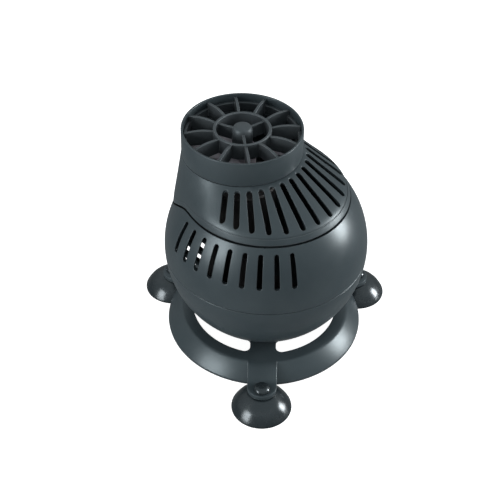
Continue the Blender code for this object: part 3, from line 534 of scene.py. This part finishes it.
# %% Looks on the solid pieces
by_slot = {
    "shell_plastic": shell_look, "cap_plastic": cap_look, "base_plastic": base_look,
    "guard_plastic": guard_look,
    "cup_rubber": cup_look, "lining_rubber": lining_look, "propeller_plastic": prop_look,
    "stainless_steel": steel_look, "motor_plastic": motor_look, "ceramic": ceramic_look,
    "magnet_ferrite": ferrite_look, "core_steel": core_look, "coil_copper": coil_look,
}
slot_of = {s["node"]: s["material_slot"] for s in frame["record"]["subparts"]}
for node_name, node in frame["nodes"].items():
    node.data.materials.clear()
    node.data.materials.append(by_slot[slot_of[node_name]])
print("looks on", len(frame["nodes"]), "solid nodes")

# %% [markdown]
# ## A slot in the ball
# The intake slots keep stones and fish out while water passes. They lie along the ball's upright
# lines, so they cannot be plain straight cuts. A round-ended outline is wrapped on two spheres, one
# inside the wall and one outside, and joined into a cutter. Its inner end is the wider one, so
# light gets through at a slant as it would through a thin wall.

# %% A slot in the ball
def ball_slot(az_top, az_low, z_top, z_low, width):
    """A round-ended slot lying on the ball, reaching through the wall and widening inwards."""
    lat_low = math.asin(z_low / ball_r)
    lat_top = math.asin(z_top / ball_r)
    mid = (lat_low + lat_top) / 2
    half = (lat_top - lat_low) / 2 * ball_r - width / 2
    outline = []
    for end, start in ((1, 0), (-1, 180)):
        for i in range(13):
            a = math.radians(start + 180.0 * i / 12)
            outline.append((width / 2 * math.cos(a), end * half + width / 2 * math.sin(a)))
        outline += [(-end * width / 2, end * half * (1 - k / 4)) for k in range(1, 8)]
    n = len(outline)
    points = []
    for radius in (ball_r - wall - 2.0 * mm, ball_r + 1.5 * mm):
        for u, v in outline + [(0.0, 0.0)]:
            lat = mid + v / ball_r
            share = 0.5 + v / (2 * half + width)
            across = u * (1 + slot_flare * (ball_r - radius) / width)
            az = math.radians(az_low + (az_top - az_low) * share)
            az += across / (ball_r * math.cos(mid))
            flat = radius * math.cos(lat)
            points.append((ball_mid.x + flat * math.cos(az), ball_mid.y + flat * math.sin(az),
                           ball_mid.z + radius * math.sin(lat)))
    faces = []
    for i in range(n):
        j = (i + 1) % n
        faces.append((i, j, n + 1 + j, n + 1 + i))
        faces.append((n, j, i))
        faces.append((2 * n + 1, n + 1 + i, n + 1 + j))
    return points, faces


slot_flare = 1.3
slot_width = 2.8 * mm
print("ball slots %.1f mm wide" % (slot_width / mm))

# %% [markdown]
# ## Where the cap meets the ball
# The cap's edge is a circle seen from above, pushed out where the neck stands past it. Two smooth
# blends join the circle and the neck, so the edge has no kink. The shell gets an opening of the
# same outline, a little larger, which leaves the dark line seen round the cap.

# %% Where the cap meets the ball
def rim_radius(bearing):
    """The cap's edge from above: a circle, pushed out where the neck stands past it."""
    along = offset * math.cos(math.radians(bearing - outlet_bearing))
    neck = along + math.sqrt(max(along * along - offset ** 2 + outlet_r ** 2, 0.0))
    flared = neck + rim_flare
    out = (flared + rim_max - math.sqrt((flared - rim_max) ** 2 + rim_blend)) / 2
    return (rim_r + out + math.sqrt((rim_r - out) ** 2 + rim_blend)) / 2


def shell_opening(count=240):
    """What the cap closes, with sides that run straight out from the ball's middle."""
    points, faces = [], []
    for scale in (0.86, 1.16):
        for i in range(count):
            a = 360.0 * i / count
            r = rim_radius(a)
            lat = math.atan2(math.sqrt(ball_r ** 2 - r * r), r) - rim_gap / ball_r
            p = axis + way(a) * (ball_r * scale * math.cos(lat))
            points.append((p.x, p.y, ball_mid.z + ball_r * scale * math.sin(lat)))
    points.append((axis.x, axis.y, ball_mid.z + 0.30 * ball_r))
    points.append((axis.x, axis.y, ball_mid.z + 1.5 * ball_r))
    for i in range(count):
        j = (i + 1) % count
        faces.append((i, j, count + j, count + i))
        faces.append((2 * count, j, i))
        faces.append((2 * count + 1, count + i, count + j))
    return points, faces


rim_blend = 6.0 * mm * mm
rim_gap = 0.8 * mm
print("cap edge from %.1f mm" % (rim_radius(outlet_bearing + 180) / mm),
      "to %.1f mm off the axis" % (rim_radius(outlet_bearing) / mm))

# %% [markdown]
# ## Upper shell
# The upper half of the ball is a turned wall whose lower edge is rounded a little, as a moulded
# edge is. The cap's opening is cut first and then nine slots, equally spaced round the front.

# %% Upper shell
inner_r = ball_r - wall
edge_round = 0.25 * mm
top = on_ball(ball_r, ball_mid.z + 40 * mm, seam + gap + edge_round, 40)
edge_r = top[-1][0]
top += [(edge_r - edge_round, seam + gap)]
inside = on_ball(inner_r, seam + gap, ball_mid.z + 38 * mm, 30)
upper = solid("ball_upper", turned(top + inside, axis, 192))
shape_with(upper, shell_opening())
first_slot, slot_step = 208.5, 9.76
front_slots = [first_slot + slot_step * i for i in range(9)]
shape_with(upper, together(*[ball_slot(b, b, 29.5 * mm, 12.2 * mm, slot_width)
                             for b in front_slots]))
finish_piece(upper, shell_look, "ball", "upper_shell")

# %% [markdown]
# ## Lower bowl
# The bowl rests in the base and has a hole at the bottom for the swivel screw. A lip at its top
# reaches up inside the upper shell, which hides the light at the seam. The six slots at its back
# lean, and a round port lets the cord gland through.

# %% Lower bowl
hole = 12.5 * mm
lip_r = inner_r - gap - 0.2 * mm
lip_wall = 1.4 * mm
lip_top = seam + 3.2 * mm
outer = [(edge_r - edge_round, seam)]
outer += on_ball(ball_r, seam - edge_round, ball_z(ball_r, hole, low=True), 48)
inside = on_ball(inner_r, ball_z(inner_r, hole, low=True), seam - 2.4 * mm, 36)
lip = [(lip_r - lip_wall, seam - 0.6 * mm), (lip_r - lip_wall, lip_top), (lip_r, lip_top),
       (lip_r, seam)]
lower = solid("ball_lower", turned(outer + inside + lip, axis, 192))
shape_with(lower, together(*[
    ball_slot(126.8 + 10 * i, 116.0 + 10 * i, -21.5 * mm, -36.0 * mm, slot_width)
    for i in range(6)]))
gland_low, gland_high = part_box("cord_gland")
gland_z = (gland_low[2] + gland_high[2]) / 2
port_r, n = 5.7 * mm, 32
port = disc(port_r, Vector((ball_mid.x, gland_z, 0)), n)
tube = [(x, axis.y + y, z) for y in (44 * mm, 58 * mm) for x, z in port]
tube_faces = [tuple(range(n)), tuple(range(n, 2 * n))[::-1]]
tube_faces += [(i, n + i, n + (i + 1) % n, (i + 1) % n) for i in range(n)]
shape_with(lower, (tube, tube_faces))
finish_piece(lower, shell_look, "ball", "lower_bowl")

# %% [markdown]
# ## The cap's skin, point by point
# The cap rises from its edge on the ball with a rounded shoulder, then runs straight up to the
# round outlet. Behind the outlet the same skin is a steep neck. It could be sculpted, but a rule
# for every point keeps it smooth: a bearing from the outlet, a share of the way up, and a depth.

# %% Points on the cap
def rim_from_outlet(tau):
    """How far the cap's edge is from the outlet's axis, found by halving."""
    out = way(tau)
    low, high = 10 * mm, 90 * mm
    for _ in range(40):
        mid = (low + high) / 2
        p = outlet + out * mid - axis
        if math.hypot(p.x, p.y) < rim_radius(math.degrees(math.atan2(p.y, p.x))):
            low = mid
        else:
            high = mid
    return low


def cap_point(tau, rho, t, depth):
    """A point on the skin: t runs from 0 at the edge to 1 at the outlet."""
    out = way(tau)
    radius = ball_r + cap_proud - depth
    edge = outlet + out * rho - axis
    high = outlet + out * (outlet_r - neck_wall * depth / cap_wall) - axis
    if depth > 1.0 * mm:
        edge = edge * ((radius - 2.6 * mm) / (ball_r + cap_proud))
    p = edge.lerp(high, t)
    foot = ball_z(radius, math.hypot(edge.x, edge.y))
    spread = min(max((rho - outlet_r) / (12 * mm), 0.0), 1.0)
    rise = t + shoulder * spread * (1 - t) * (1 - math.exp(-t / 0.07))
    return (axis.x + p.x, axis.y + p.y, foot + (neck_z - foot) * rise)


print("cap edge %.1f mm behind the outlet" % (rim_from_outlet(outlet_bearing + 180) / mm))

# %% [markdown]
# ## The cap
# Rings of points run up the outside, over the top and down the inside, and the last closes on the
# first. The first rings lie close together: they form the edge and a fine groove just above it. The
# foot reaches down inside the shell's opening, so the cap is located when it is pushed on.

# %% The cap
count = 288
taus = [360.0 * i / count for i in range(count)]
rhos = [rim_from_outlet(t) for t in taus]
skin = [0.01, 0.022, 0.036, 0.05, 0.07, 0.095, 0.125, 0.16, 0.2, 0.26, 0.34, 0.45, 0.58, 0.72,
        0.86, 1.0]
lining = [1.0, 0.7, 0.4, 0.2, 0.1, 0.05, 0.0]
run = [math.hypot(r - outlet_r, 30 * mm) for r in rhos]
edge_and_groove = ((0.0, 0.0), (0.35, 0.0), (2.3, 0.0), (2.5, 0.28), (2.8, 0.28), (3.0, 0.0))
rings = [[cap_point(a, r, d * mm / n, sink * mm) for a, r, n in zip(taus, rhos, run)]
         for d, sink in edge_and_groove]
rings += [[cap_point(a, r, t + (1 - t) * 3.0 * mm / n, 0.0) for a, r, n in zip(taus, rhos, run)]
          for t in skin]
rings += [[cap_point(a, r, t, cap_wall) for a, r in zip(taus, rhos)] for t in lining]
foot_drop, ledge_drop = 4.6 * mm, 0.9 * mm
foot_in, foot_out, ledge = [], [], []
for a, b in zip(rings[-1], rings[0]):
    flat = Vector((b[0] - axis.x, b[1] - axis.y, 0.0))
    p = axis + flat.normalized() * (flat.length * (inner_r / ball_r) - gap - 0.15 * mm)
    foot_in.append((a[0], a[1], b[2] - foot_drop))
    foot_out.append((p.x, p.y, b[2] - foot_drop))
    ledge.append((p.x, p.y, b[2] - ledge_drop))
cap = solid("cap", rings_closed(rings + [foot_in, foot_out, ledge]))
print("cap skin:", len(rings), "rings")

# %% [markdown]
# ## The fan of slots
# Fourteen slots spread out below the outlet. Seen from above each is a straight slot with round
# ends, so an upright prism cuts it. Each starts close to the nozzle and ends on one circle about
# the ball's axis, which makes the far ends follow the cap's edge.

# %% The fan of slots
def stadium(start, end, width):
    """A round-ended outline from one point to another, seen from above."""
    run = (end - start).normalized()
    side = Vector((-run.y, run.x, 0.0))
    half = width / 2
    points = []
    for centre, first in ((end - run * half, -90), (start + run * half, 90)):
        for i in range(11):
            a = math.radians(first + 18 * i)
            p = centre + run * (half * math.cos(a)) + side * (half * math.sin(a))
            points.append((p.x, p.y))
    return points


fan_end = 39.7 * mm
fan = []
for i in range(14):
    top_a = -102.5 + 10.15 * i
    foot_a = -100.5 + 9.0 * i
    start = outlet + way(top_a) * (outlet_r + 1.4 * mm)
    out = way(foot_a)
    along = (outlet - axis).dot(out)
    reach = -along + math.sqrt(along * along - offset ** 2 + fan_end ** 2)
    fan.append(prism(stadium(start, outlet + out * reach, 3.0 * mm), 80 * mm, 130 * mm))
shape_with(cap, together(*fan))
finish_piece(cap, cap_look, "cap", "cap_shell")

# %% [markdown]
# ## Nozzle ring
# A plain round ring gathers the stream. It is turned from one outline: a thin rounded lip at the
# top, a ledge inside for the guard, and a spigot below that drops into the cap's neck.

# %% Nozzle ring
neck = outlet_r - neck_wall
bore = outlet_r - 1.1 * mm
throat, throat_top = 28.1 * mm, 117.7 * mm
z0 = neck_z + gap
spigot = z0 - 2.2 * mm
ring = [(outlet_r - 0.35 * mm, lip_z), (outlet_r - 0.1 * mm, lip_z - 0.1 * mm),
        (outlet_r, lip_z - 0.35 * mm), (outlet_r, z0 + 0.2 * mm), (outlet_r - 0.2 * mm, z0),
        (neck - gap, z0), (neck - gap, spigot), (throat, spigot), (throat, throat_top),
        (bore, throat_top), (bore, lip_z - 0.35 * mm), (bore + 0.1 * mm, lip_z - 0.1 * mm),
        (bore + 0.3 * mm, lip_z)]
nozzle = solid("nozzle", turned(ring, outlet, 200))
finish_piece(nozzle, cap_look, "cap", "nozzle_ring")

# %% [markdown]
# ## Guard: rings and hub
# The guard keeps fingers and fish from the propeller. It is one moulding, so its outer ring, inner
# ring and domed hub are turned separately and joined afterwards. Small steps in the outlines stand
# for rounded edges, which catch the light.

# %% Guard rings and hub
guard_low, guard_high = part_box("outlet_guard")
low = guard_low[2]
high = 126.2 * mm
ring_out = outlet_r - 1.4 * mm
ledge_z = high - 3.4 * mm
hub_z = guard_high[2]
ring_in = ring_out - 1.3 * mm
outer_ring = [(ring_out, ledge_z), (ring_out, low), (ring_in, low),
              (ring_in, ledge_z - 0.2 * mm), (ring_out - 1.1 * mm, ledge_z)]
guard = solid("guard", turned(outer_ring, outlet, 160))
small_out, small_in = 14.9 * mm, 13.4 * mm
inner_ring = turned([(small_out, high + 0.3 * mm), (small_out, low), (small_in, low),
                     (small_in, high + 0.3 * mm), (13.7 * mm, high + 0.6 * mm),
                     (14.6 * mm, high + 0.6 * mm)], outlet, 96)
bush_r, bush_top = 3.2 * mm, 123.3 * mm
hub = [(0.0, hub_z), (2.6 * mm, hub_z - 0.05 * mm), (3.7 * mm, hub_z - 0.2 * mm),
       (4.3 * mm, hub_z - 0.5 * mm), (4.7 * mm, hub_z - 1.1 * mm), (5.0 * mm, hub_z - 2.0 * mm),
       (5.3 * mm, hub_z - 3.3 * mm), (5.3 * mm, low), (bush_r, low), (bush_r, bush_top),
       (0.0, bush_top)]
print("guard top at %.1f mm" % (high / mm))

# %% [markdown]
# ## Guard: vanes and spokes
# Twelve vanes with a slight arch run from the inner ring to the outer one, and three spokes slope
# up to the hub. Each is a plate standing on edge. Everything is joined into one piece, because
# overlapping loose pieces would show seams.

# %% Guard vanes and spokes
plate = 1.3 * mm
arch = 1.1 * mm
vanes = []
for i in range(12):
    outline = []
    r0, r1 = 13.9 * mm, ring_out - 0.2 * mm
    for k in range(13):
        s = k / 12
        outline.append((r0 + (r1 - r0) * s, high - 0.45 * mm + arch * math.sin(math.pi * s)))
    outline += [(r1, low + 0.3 * mm), (r0, low + 0.3 * mm)]
    vanes.append(standing(outline, plate, 8.6 + 30 * i, outlet))
for bearing in (38, 157, 278):
    outline = [(4.4 * mm, hub_z - 2.3 * mm), (8.5 * mm, hub_z - 2.5 * mm),
               (13.8 * mm, high - 0.6 * mm), (13.8 * mm, low + 0.6 * mm),
               (4.4 * mm, low + 0.6 * mm)]
    vanes.append(standing(outline, plate, bearing, outlet))
for extra in (inner_ring, turned(hub, outlet, 64), together(*vanes)):
    shape_with(guard, extra, "UNION")
finish_piece(guard, guard_look, "cap", "outlet_guard")

# %% [markdown]
# ## One blade
# A propeller blade is a thin plate that twists as it goes out. Closed outlines are laid one after
# another from the hub to the tip, each a little shorter and thinner than the last, and faces join
# them. That keeps the twist even, which bending a flat plate would not.

# %% One blade
hub_r, tip_r = 7.2 * mm, 27.4 * mm


def blade(bearing, stations=14, chord=14):
    """A twisted blade with its root just inside the hub."""
    rings = []
    for i in range(stations + 1):
        s = i / stations
        r = hub_r - 0.7 * mm + (tip_r - hub_r + 0.7 * mm) * s
        half = 40.0 - 5.0 * s
        z_top = 115.2 * mm
        z_low = 104.6 * mm + 2.6 * mm * s
        thick = 1.3 * mm * (1.25 - 0.45 * s)
        ring = []
        for face in (1, -1):
            for k in range(chord + 1):
                c = k / chord if face > 0 else 1 - k / chord
                a = bearing + half * (2 * c - 1) + 8 * s
                z = z_top + (z_low + thick - z_top) * c + 0.9 * mm * math.sin(math.pi * c)
                cut = min(1.0, 0.5 + 4 * min(c, 1 - c))
                p = outlet + way(a) * r
                ring.append((p.x, p.y, z + face * thick * cut / 2 - thick / 2))
        rings.append(ring)
    n = len(rings[0])
    points = [p for ring in rings for p in ring]
    faces = [tuple(range(n)), tuple(range(len(points) - n, len(points)))[::-1]]
    for k in range(len(rings) - 1):
        for i in range(n):
            j = (i + 1) % n
            faces.append((k * n + i, k * n + n + i, k * n + n + j, k * n + j))
    return points, faces


print("blade tip at %.1f mm" % (tip_r / mm))

# %% [markdown]
# ## Propeller
# Three equal blades are joined to a turned hub with a rounded crown. Inside the hub is the small
# stop that the rotor pushes against: the propeller turns freely part of the way before it is met.

# %% Propeller
crown = 115.6 * mm
foot, socket_r, socket_top, shaft_r = 98.6 * mm, 5.4 * mm, 103 * mm, 1.8 * mm
body_line = [(5.6 * mm, crown + 1.2 * mm), (6.6 * mm, crown + 0.6 * mm),
             (7.1 * mm, crown - 0.4 * mm), (hub_r, crown - 1.2 * mm), (hub_r, foot),
             (socket_r, foot), (socket_r, socket_top), (shaft_r, socket_top),
             (shaft_r, crown + 1.2 * mm)]
prop = solid("propeller_blades", turned(body_line, outlet, 72))
far, near, half = 6.0 * mm, 3.6 * mm, 1.3 * mm
corners = [(-far, -half), (-near, -half), (-near, half), (-far, half)]
stop = prism([(outlet.x + x, outlet.y + y) for x, y in corners], 99.2 * mm, 103.6 * mm)
shape_with(prop, stop, "UNION")
for i in range(3):
    shape_with(prop, blade(120 * i + 15), "UNION")
finish_piece(prop, prop_look, "propeller", "propeller")

# %% [markdown]
# ## Openings in the base
# Three arc-shaped openings in the flat ring save plastic and let water drain. Two long arcs and
# four rounded corners make each outline. The corners are worked out as circles that touch both the
# arc and the straight side, so no bevel is needed.

# %% Openings in the base
open_in, open_out = 28.9 * mm, 39.45 * mm
web = 6.9 * mm


def slot_end(bearing, side, fillet=3.0 * mm):
    """The two rounded corners at one end of an opening, beside an arm."""
    y = web + fillet
    points = []
    for r, inward in ((open_in + fillet, True), (open_out - fillet, False)):
        x = math.sqrt(r * r - y * y)
        lean = math.degrees(math.atan2(y, x))
        start, stop = (lean - 180, -90) if inward else (-90, lean)
        for i in range(9):
            a = math.radians(start + (stop - start) * i / 8)
            points.append(Vector((x + fillet * math.cos(a), side * (y + fillet * math.sin(a)),
                                  0.0)))
    turn = Matrix.Rotation(math.radians(bearing), 3, "Z")
    return [turn @ p for p in points]


def arc_opening(bearing):
    """A cutter for the opening whose middle lies at a bearing."""
    first, last = slot_end(bearing - 60, 1), slot_end(bearing + 60, -1)
    points = list(first)
    for p, q, r in ((first[-1], last[-1], open_out), (last[0], first[0], open_in)):
        a0 = math.degrees(math.atan2(p.y, p.x))
        a1 = math.degrees(math.atan2(q.y, q.x))
        turn = (a1 - a0 + 180) % 360 - 180
        points += [way(a0 + turn * i / 48) * r for i in range(1, 48)]
        if r == open_out:
            points += last[::-1]
    outline = [(axis.x + p.x, axis.y + p.y) for p in points]
    return prism(outline, plate_z - 3.6 * mm, plate_z + 1.5 * mm)


print("base openings %.1f mm wide" % ((open_out - open_in) / mm))

# %% [markdown]
# ## Dish, ring and skirt
# The base is one moulding: a thin dish under the ball, a flat ring round it and a skirt that slopes
# down to a rounded foot. All of it is turned from one outline and the openings are cut afterwards.
# Where the soft lining sits the dish is a little deeper.

# %% Dish, ring and skirt
def dish(radius, r0, r1, n):
    """(radius, height) points along the bottom of a ball."""
    steps = [r0 + (r1 - r0) * i / n for i in range(n + 1)]
    return [(r, ball_z(radius, r, low=True)) for r in steps]


under = plate_z - 2.6 * mm
bare = ball_r + 0.5 * mm
seat = ball_r + 1.8 * mm
screw_r, lining_in, lining_out, floor_z = 2.3 * mm, 13.9 * mm, 22.5 * mm, 4.2 * mm
profile = [(45.0 * mm, plate_z), (45.8 * mm, plate_z - 0.12 * mm), (46.7 * mm, plate_z - 0.75 * mm),
           (53.0 * mm, 8.75 * mm), (53.25 * mm, 8.3 * mm), (53.3 * mm, 7.9 * mm),
           (53.2 * mm, 7.3 * mm), (52.9 * mm, 7.2 * mm), (51.1 * mm, 7.2 * mm),
           (44.5 * mm, under), (open_in, under), (26.0 * mm, 12.3 * mm), (21.0 * mm, 7.6 * mm),
           (17.4 * mm, floor_z), (screw_r, floor_z)]
profile += dish(bare, screw_r, lining_in, 8) + dish(seat, lining_in, lining_out, 8)
profile += dish(bare, lining_out, math.sqrt(bare ** 2 - (ball_mid.z - plate_z) ** 2), 10)
base = solid("base", turned(profile, axis, 240))
shape_with(base, together(*[arc_opening(b) for b in (-30, 90, 210)]))
print("base turned, three openings cut")

# %% [markdown]
# ## Arms
# Each arm runs over the skirt and ends in a round pad with a hole for a cup. Sections with eight
# corners are laid along the arm. They narrow round the pad, and their top corners are taken off.
# The openings stop short of the arms, so joining does not fill them.

# %% Arms
arm_z = 12.6 * mm
arm_bearings = {"front": -90, "right": 30, "left": 150}
cup_circle = 61.3 * mm


def arm(bearing):
    """A flat arm that runs down over the skirt to a rounded pad, with softened top edges."""
    out = way(bearing)
    side = Vector((-out.y, out.x, 0.0))
    top = plate_z - 0.03 * mm
    pad = 58.9 * mm
    half = 7.7 * mm
    line = [(40.45 * mm, top), (46.4 * mm, top), (47.6 * mm, top - 0.3 * mm),
            (49.5 * mm, top - 1.1 * mm), (54.5 * mm, arm_z + 0.95 * mm),
            (56.4 * mm, arm_z + 0.25 * mm), (57.6 * mm, arm_z + 0.02 * mm)]
    line += [(pad + half * math.sin(math.radians(a)) * 0.999, arm_z) for a in range(0, 90, 6)]
    line += [(pad + half * 0.999, arm_z - 0.2 * mm)]
    rings = []
    for r, z in line:
        w = math.sqrt(max(half ** 2 - (r - pad) ** 2, 0.0)) if r > pad else half
        slope = under + 0.6 * mm - (r - 41 * mm) * 1.2
        low = min(under + 0.6 * mm, max(arm_z - 2.45 * mm, slope))
        soft = min(0.45 * mm, w * 0.5)
        ring = []
        corners = ((w, low), (w, z - soft), (w - 0.3 * soft, z - 0.3 * soft), (w - soft, z))
        for across, height in [(-x, z) for x, z in corners] + list(corners[::-1]):
            p = axis + out * r + side * across
            ring.append((p.x, p.y, height))
        rings.append(ring)
    points = [p for ring in rings for p in ring]
    last = len(points)
    faces = [tuple(range(8)), tuple(range(last - 8, last))[::-1]]
    for k in range(0, last - 8, 8):
        faces += [(k + i, k + 8 + i, k + 8 + (i + 1) % 8, k + (i + 1) % 8) for i in range(8)]
    return points, faces


for bearing in arm_bearings.values():
    tip = axis + way(bearing) * cup_circle
    shape_with(base, arm(bearing), "UNION")
    shape_with(base, prism(disc(3.8 * mm, tip, 40), 9.0 * mm, 20 * mm))
    shape_with(base, prism(disc(11.2 * mm, tip, 72), 3.0 * mm, 9.7 * mm))
finish_piece(base, base_look, "base", "base_ring")

# %% [markdown]
# ## Suction cups
# Each cup is one rubber moulding: a thin rim that seals on glass, a full dome, a short neck through
# the arm and a rounded button above it. It is round, so it is turned. The outline is written in
# millimetres, the button from the top of the arm and the dome from the glass.

# %% Suction cups
neck_top = arm_z + gap
low = arm_z - 2.5 * mm - gap
dome = low / mm
outer_line = [(5.4, dome), (6.6, dome - 0.25), (8.2, dome - 1.0), (10.2, dome - 2.2),
              (12.1, dome - 3.75), (13.7, dome - 5.6), (14.9, dome - 7.5), (15.6, 1.1),
              (15.85, 0.6), (15.9, 0.25), (15.85, 0.0), (14.1, 0.0), (13.0, 1.9), (11.4, 3.3),
              (8.4, 5.0), (5.0, 6.0), (0.0, 6.6)]
neck_r = 3.5
button = [(0.0, 2.6), (1.2, 2.55), (2.4, 2.3), (3.4, 1.8), (4.0, 1.2), (4.25, 0.6), (4.2, 0.0),
          (neck_r, 0.0)]
cup_line = [(r * mm, neck_top + z * mm) for r, z in button] + [(neck_r * mm, low)]
cup_line += [(r * mm, z * mm) for r, z in outer_line]
for name, bearing in arm_bearings.items():
    tip = axis + way(bearing) * cup_circle
    cup = solid("cup_" + name, turned(cup_line, tip, 96))
    finish_piece(cup, cup_look, "base", "suction_cup_" + name, sharp=50)

# %% [markdown]
# ## Floor and backdrop
# Products are often shown on a white sweep of paper. A floor that gives off a little light stays
# white without strong lamps, and a round wall behind it keeps low views white too. Glossy plastic
# would mirror a white floor, so both are hidden from reflections.

# %% Floor and backdrop
below = -0.0002
floor = solid("floor", ([(-4, -4, 0), (4, -4, 0), (4, 4, 0), (-4, 4, 0)], [(0, 1, 2, 3)]))
floor_look = Look("floor_look")
grain = floor_look.noise(2 * mm, 2.0)
paper = floor_look.blend(grain, rgb(0.50, 0.50, 0.50), rgb(0.54, 0.54, 0.54))
floor_look.set(Base_Color=paper, Roughness=0.95, Specular_IOR_Level=0.0,
               Emission_Color=rgb(1.0, 1.0, 1.0), Emission_Strength=0.92)
floor.data.materials.append(floor_look.material)
floor.location.z = below
floor.visible_glossy = False

n = 48
ring = disc(3.9, Vector((0.0, 0.0, 0.0)), n)
wall_points = [(x, y, z) for z in (below, 6.0) for x, y in ring]
wall_faces = [(i, n + i, n + (i + 1) % n, (i + 1) % n) for i in range(n)]
backdrop = solid("backdrop", (wall_points, wall_faces))
backdrop.data.materials.append(floor_look.material)
backdrop.visible_glossy = False
backdrop.visible_diffuse = False
backdrop.visible_shadow = False
print("floor and backdrop set")

# %% [markdown]
# ## Sky
# The sky fills in the shadows. One even tone would make the ball look flat, so it is dimmer near
# the horizon and brighter overhead. A painted surround could do this too, but a ramp on the
# height of the view direction is enough. Plain colour output keeps white white.

# %% Sky
world = bpy.data.worlds.new("studio")
world.use_nodes = True
sky = world.node_tree.nodes
link = world.node_tree.links.new
direction = sky.new("ShaderNodeTexCoord")
split = sky.new("ShaderNodeSeparateXYZ")
height = sky.new("ShaderNodeMapRange")
for key, value in {"From Min": 0.0, "From Max": 0.7, "To Min": 0.20, "To Max": 0.85}.items():
    height.inputs[key].default_value = value
link(direction.outputs["Generated"], split.inputs["Vector"])
link(split.outputs["Z"], height.inputs["Value"])
link(height.outputs["Result"], sky["Background"].inputs["Strength"])
sky["Background"].inputs["Color"].default_value = rgb(0.92, 0.98, 1.0)
bpy.context.scene.world = world
bpy.context.scene.view_settings.view_transform = "Standard"
print("sky set")

# %% [markdown]
# ## Soft lights
# Two large lamps, one at each side, give the soft highlights on the ball and the bright spots on
# the cups. Small lamps would make hard dots instead. The right one is stronger.

# %% Soft lights
def soft_light(name, spot, target, size, watts):
    """A rectangular lamp at a spot, turned to face a target."""
    lamp = bpy.data.lights.new(name, "AREA")
    lamp.shape = "RECTANGLE"
    lamp.size, lamp.size_y = size
    lamp.energy = watts
    holder = bpy.data.objects.new(name, lamp)
    bpy.context.scene.collection.objects.link(holder)
    holder.location = spot
    holder.rotation_euler = (Vector(target) - Vector(spot)).to_track_quat("-Z", "Y").to_euler()


middle = Vector((0.0, 0.0, 0.06))
soft_light("light_left", (-0.70, -0.50, 0.33), middle, (0.38, 0.45), 7.0)
soft_light("light_right", (0.88, 0.12, 0.28), middle, (0.26, 0.42), 11.0)
print("two soft lights set")

# %% [markdown]
# ## Camera
# The camera looks down on the pump from the front at about 41 degrees, from 0.64 metres
# away. The turns are written out one by one, so that each can be changed alone.

# %% Camera
lens = bpy.data.cameras.new("camera")
lens.sensor_width = 36.0
lens.lens = 87.3
lens.clip_start = 0.01
camera = bpy.data.objects.new("camera", lens)
bpy.context.scene.collection.objects.link(camera)
camera.matrix_world = (Matrix.Translation((-0.0007, -0.4812, 0.4821))
                       @ Matrix.Rotation(math.radians(0.9), 4, "Z")
                       @ Matrix.Rotation(math.radians(90 - 41.06), 4, "X")
                       @ Matrix.Rotation(math.radians(1.01), 4, "Z"))
bpy.context.scene.camera = camera
print("camera set, lens %.1f mm" % lens.lens)

# %% [markdown]
# ## Finish
# The view layer is brought up to date at the end.

# %% Finish
bpy.context.view_layer.update()
